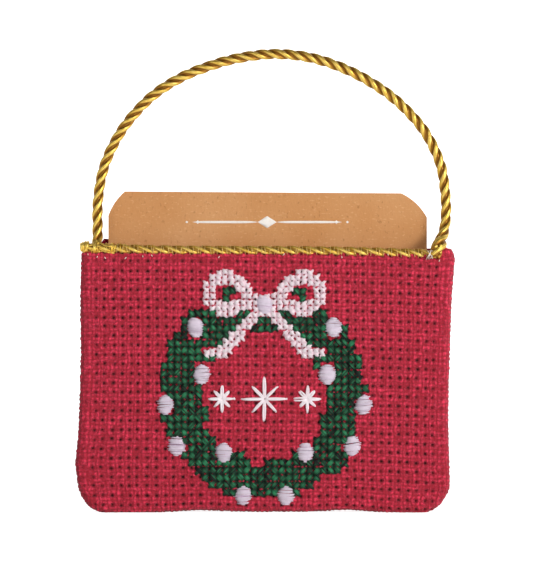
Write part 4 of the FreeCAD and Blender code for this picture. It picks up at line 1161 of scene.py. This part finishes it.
def cross_stitches(name, x, z, wide, tall, thickness, end_girth, rise, tone, finish, slot, node):
    """Two crossing legs on each square, each of three strands side by side, arched along a diagonal.

    A seeded draw says which leg lies over the other. A strand's place aside is a share of the leg's
    thickness, and end_girth is the share of its girth that it keeps at its ends. The shade mark is a painted
    highlight, highest at the top of an arch, with painted shade on the under leg and at the ends; tone is its
    mean at the top, and it varies by seeded amounts per stitch and strand.
    """
    share = np.linspace(-0.5, 0.5, 6)
    arch = 1 - (share / 0.5) ** 2
    opened = 0.3 + 0.7 * np.sqrt(arch)
    count = len(x)
    first_over = rng.uniform(0, 1, count) < 0.4
    legs, shades = [], []
    for way, over in ((1, first_over), (-1, ~first_over)):
        long = rng.uniform(0.85, 1.1, (count, 1, 1)) * rng.uniform(0.92, 1.05, (count, 3, 1))
        aside = thickness * (STRAND_ASIDE + rng.normal(0, 0.05, (count, 3)))[:, :, None] * opened
        leg_x = (x + rng.normal(0, 0.1, count))[:, None, None] + share * wide * long - way * 0.7 * aside
        leg_z = (z + rng.normal(0, 0.1, count))[:, None, None] + way * share * tall * long + 0.7 * aside
        height = (rise + OVER_RISE * over)[:, None] + rng.normal(0, 0.04, (count, 3))
        height = height - 0.1 * np.abs(STRAND_ASIDE) / 0.3
        leg_y = cloth_y(leg_x, leg_z) + 0.25 - height[:, :, None] * arch
        legs.append(xyz(leg_x, leg_y, leg_z).reshape(-1, 6, 3))
        # Seeded tone per stitch and strand, with painted shade on the under leg and a painted highlight at
        # the arch's top.
        level = (tone + rng.normal(0, 0.22, count))[:, None] + rng.normal(0, 0.32, (count, 3))
        level = np.clip(level, 0, 1) * np.where(over, 1.0, UNDER_SHADE)[:, None]
        shades.append((level[:, :, None] * (0.05 + 0.95 * arch ** 4)).reshape(-1, 6))
    girth = thickness * rng.uniform(0.36, 0.46, (6 * count, 1)) * (end_girth + (1 - end_girth) * arch)
    piece = thread_piece(name, np.concatenate(legs), girth, finish, slot, settle=True,
                         marks={"shade": np.concatenate(shades)[:, :, None]}, sides=5)
    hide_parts(node)


def drawn_in(x, z, least):
    """Move points near the bow's rim inwards, along the steepest way, until they lie at least so deep."""
    reach = 0.05
    way_x = (bow_depth(x + reach, z) - bow_depth(x - reach, z)) / (2 * reach)
    way_z = (bow_depth(x, z + reach) - bow_depth(x, z - reach)) / (2 * reach)
    move = np.clip(least - bow_depth(x, z), 0, least)
    return x + move * way_x, z + move * way_z


# Painted shade: the wreath's green is painted darker towards the right, as the light falls.
green_tone_and_shade = GREEN_TONE - RIGHT_PAINTED_SHADE * np.clip((wreath_x - DIM_FROM) / DIM_REACH, 0, 1)
cross_stitches("wreath_stitches", wreath_x, wreath_z, WREATH_OVERLAP * STITCH_X, WREATH_OVERLAP * STITCH_Z,
               WREATH_THREAD, WREATH_ENDS, WREATH_RISE, green_tone_and_shade, GREEN, "green_thread", "wreath_stitching")
cross_stitches("bow_stitches", *drawn_in(bow_x, bow_z, BOW_MARGIN), BOW_STITCH, BOW_STITCH,
               BOW_THREAD, BOW_ENDS, BOW_RISE, BOW_TONE, WHITE, "white_thread", "bow_stitching")

# %% [markdown]
# ## Satin berries and stars
#
# A berry is satin stitch: parallel threads laid side by side over an oval, higher in the middle. One array
# holds all of them, thread by thread, and the bow's knot is one more such oval. The stars in the middle are
# straight stitches from one centre, two to a ray.

# %% Berries and knot
SATIN_END, SATIN_DOME = 0.97, 1.15
SUNK_SHARE, SUNK_DEPTH, SUNK_SHADE = 0.14, 0.25, 0.15


def satin_ovals(name, middle_x, middle_z, half_width, half_height, rows):
    """Satin stitch over ovals of one size: level threads whose ends follow the oval, higher in the middle.

    A thread's half length is the half width times the root of one minus its row's square. One thread in
    seven lies lower and is darker by painted shade, and every thread is a little too long or too short.
    """
    step = np.linspace(-SATIN_END, SATIN_END, 9)[None, None, :]
    thread_of = (len(middle_x), rows, 1)
    row = np.linspace(-SATIN_END, SATIN_END, rows)[None, :, None] + rng.normal(0, 0.035, thread_of)
    row = np.clip(row, -0.99, 0.99)
    half = half_width * np.sqrt(1 - row ** 2) + rng.normal(0, 0.2, thread_of)
    tilt = rng.uniform(-0.12, 0.12, (len(middle_x), 1, 1)) + rng.normal(0, 0.03, thread_of)
    x = middle_x[:, None, None] + rng.normal(0, 0.1, thread_of) + half * step
    z = middle_z[:, None, None] + half_height * row + tilt * half * step
    dome = np.sqrt(1 - step ** 2) * (0.35 + 0.65 * np.sqrt(1 - row ** 2))
    sunk = np.where(rng.uniform(0, 1, thread_of) < SUNK_SHARE, SUNK_DEPTH, 0.0)
    y = cloth_y(x, z) + 0.2 - SATIN_DOME * dome - rng.uniform(0, 0.08, thread_of) + sunk
    paths = xyz(x, y, z).reshape(-1, 9, 3)
    thickness = rng.uniform(0.26, 0.36, (len(paths), 1))
    # Painted shade for sunk threads; the others get a seeded tone.
    shade = np.where(sunk > 0, SUNK_SHADE, rng.uniform(0.7, 1.0, thread_of)).reshape(-1, 1, 1)
    return thread_piece(name, paths, thickness, SATIN, "white_thread", settle=True, marks={"shade": shade})


berries = satin_ovals("berry_stitches", berry_x, berry_z, half_width=2.2, half_height=2.65, rows=30)
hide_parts("berry_stitching")
satin_ovals("bow_knot", np.zeros(1), np.full(1, KNOT_Z), half_width=2.3, half_height=2.4, rows=28)

# %% Stars
STAR_POINTS, RAY_THREADS = 8, 2
STAR_PLACE, STAR_REACH, SIDE_REACH = 11.6, 6.2, 3.7
RAY_ASIDE, RAY_THICKNESS, RAY_RISE = 0.23, 0.52, 0.55
RAY_SHARES = [1.0, 0.96, 0.8, 0.76]

star_threads = STAR_POINTS * RAY_THREADS
star_x = np.repeat([-STAR_PLACE, 0.0, STAR_PLACE], star_threads)[:, None]
reach = np.repeat([SIDE_REACH, STAR_REACH, SIDE_REACH], star_threads)
reach = reach * np.tile(RAY_SHARES, 3 * STAR_POINTS // 2) * rng.uniform(0.95, 1.03, len(star_x))
reach = reach[:, None]
ray_turn = 2 * np.pi * np.repeat(np.arange(STAR_POINTS), RAY_THREADS) / STAR_POINTS
ray_turn = (np.tile(ray_turn, 3) + rng.normal(0, 0.03, len(star_x)))[:, None]
aside = np.tile([-RAY_ASIDE, RAY_ASIDE], 3 * STAR_POINTS)[:, None]
step = np.linspace(0.04, 1, 10)
bow_out = np.sin(np.pi * step) ** 0.6
ray_x = star_x + reach * np.sin(ray_turn) * step + aside * np.cos(ray_turn) * bow_out
ray_z = WREATH_Z + reach * np.cos(ray_turn) * step - aside * np.sin(ray_turn) * bow_out
ray_y = cloth_y(ray_x, ray_z) + 0.15 - RAY_RISE * bow_out
shade = rng.uniform(0.55, 1.0, (len(ray_x), 1, 1))
stars = thread_piece("star_stitches", xyz(ray_x, ray_y, ray_z), RAY_THICKNESS, WHITE, "white_thread",
                     settle=True, marks={"shade": shade})
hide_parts("star_stitching")
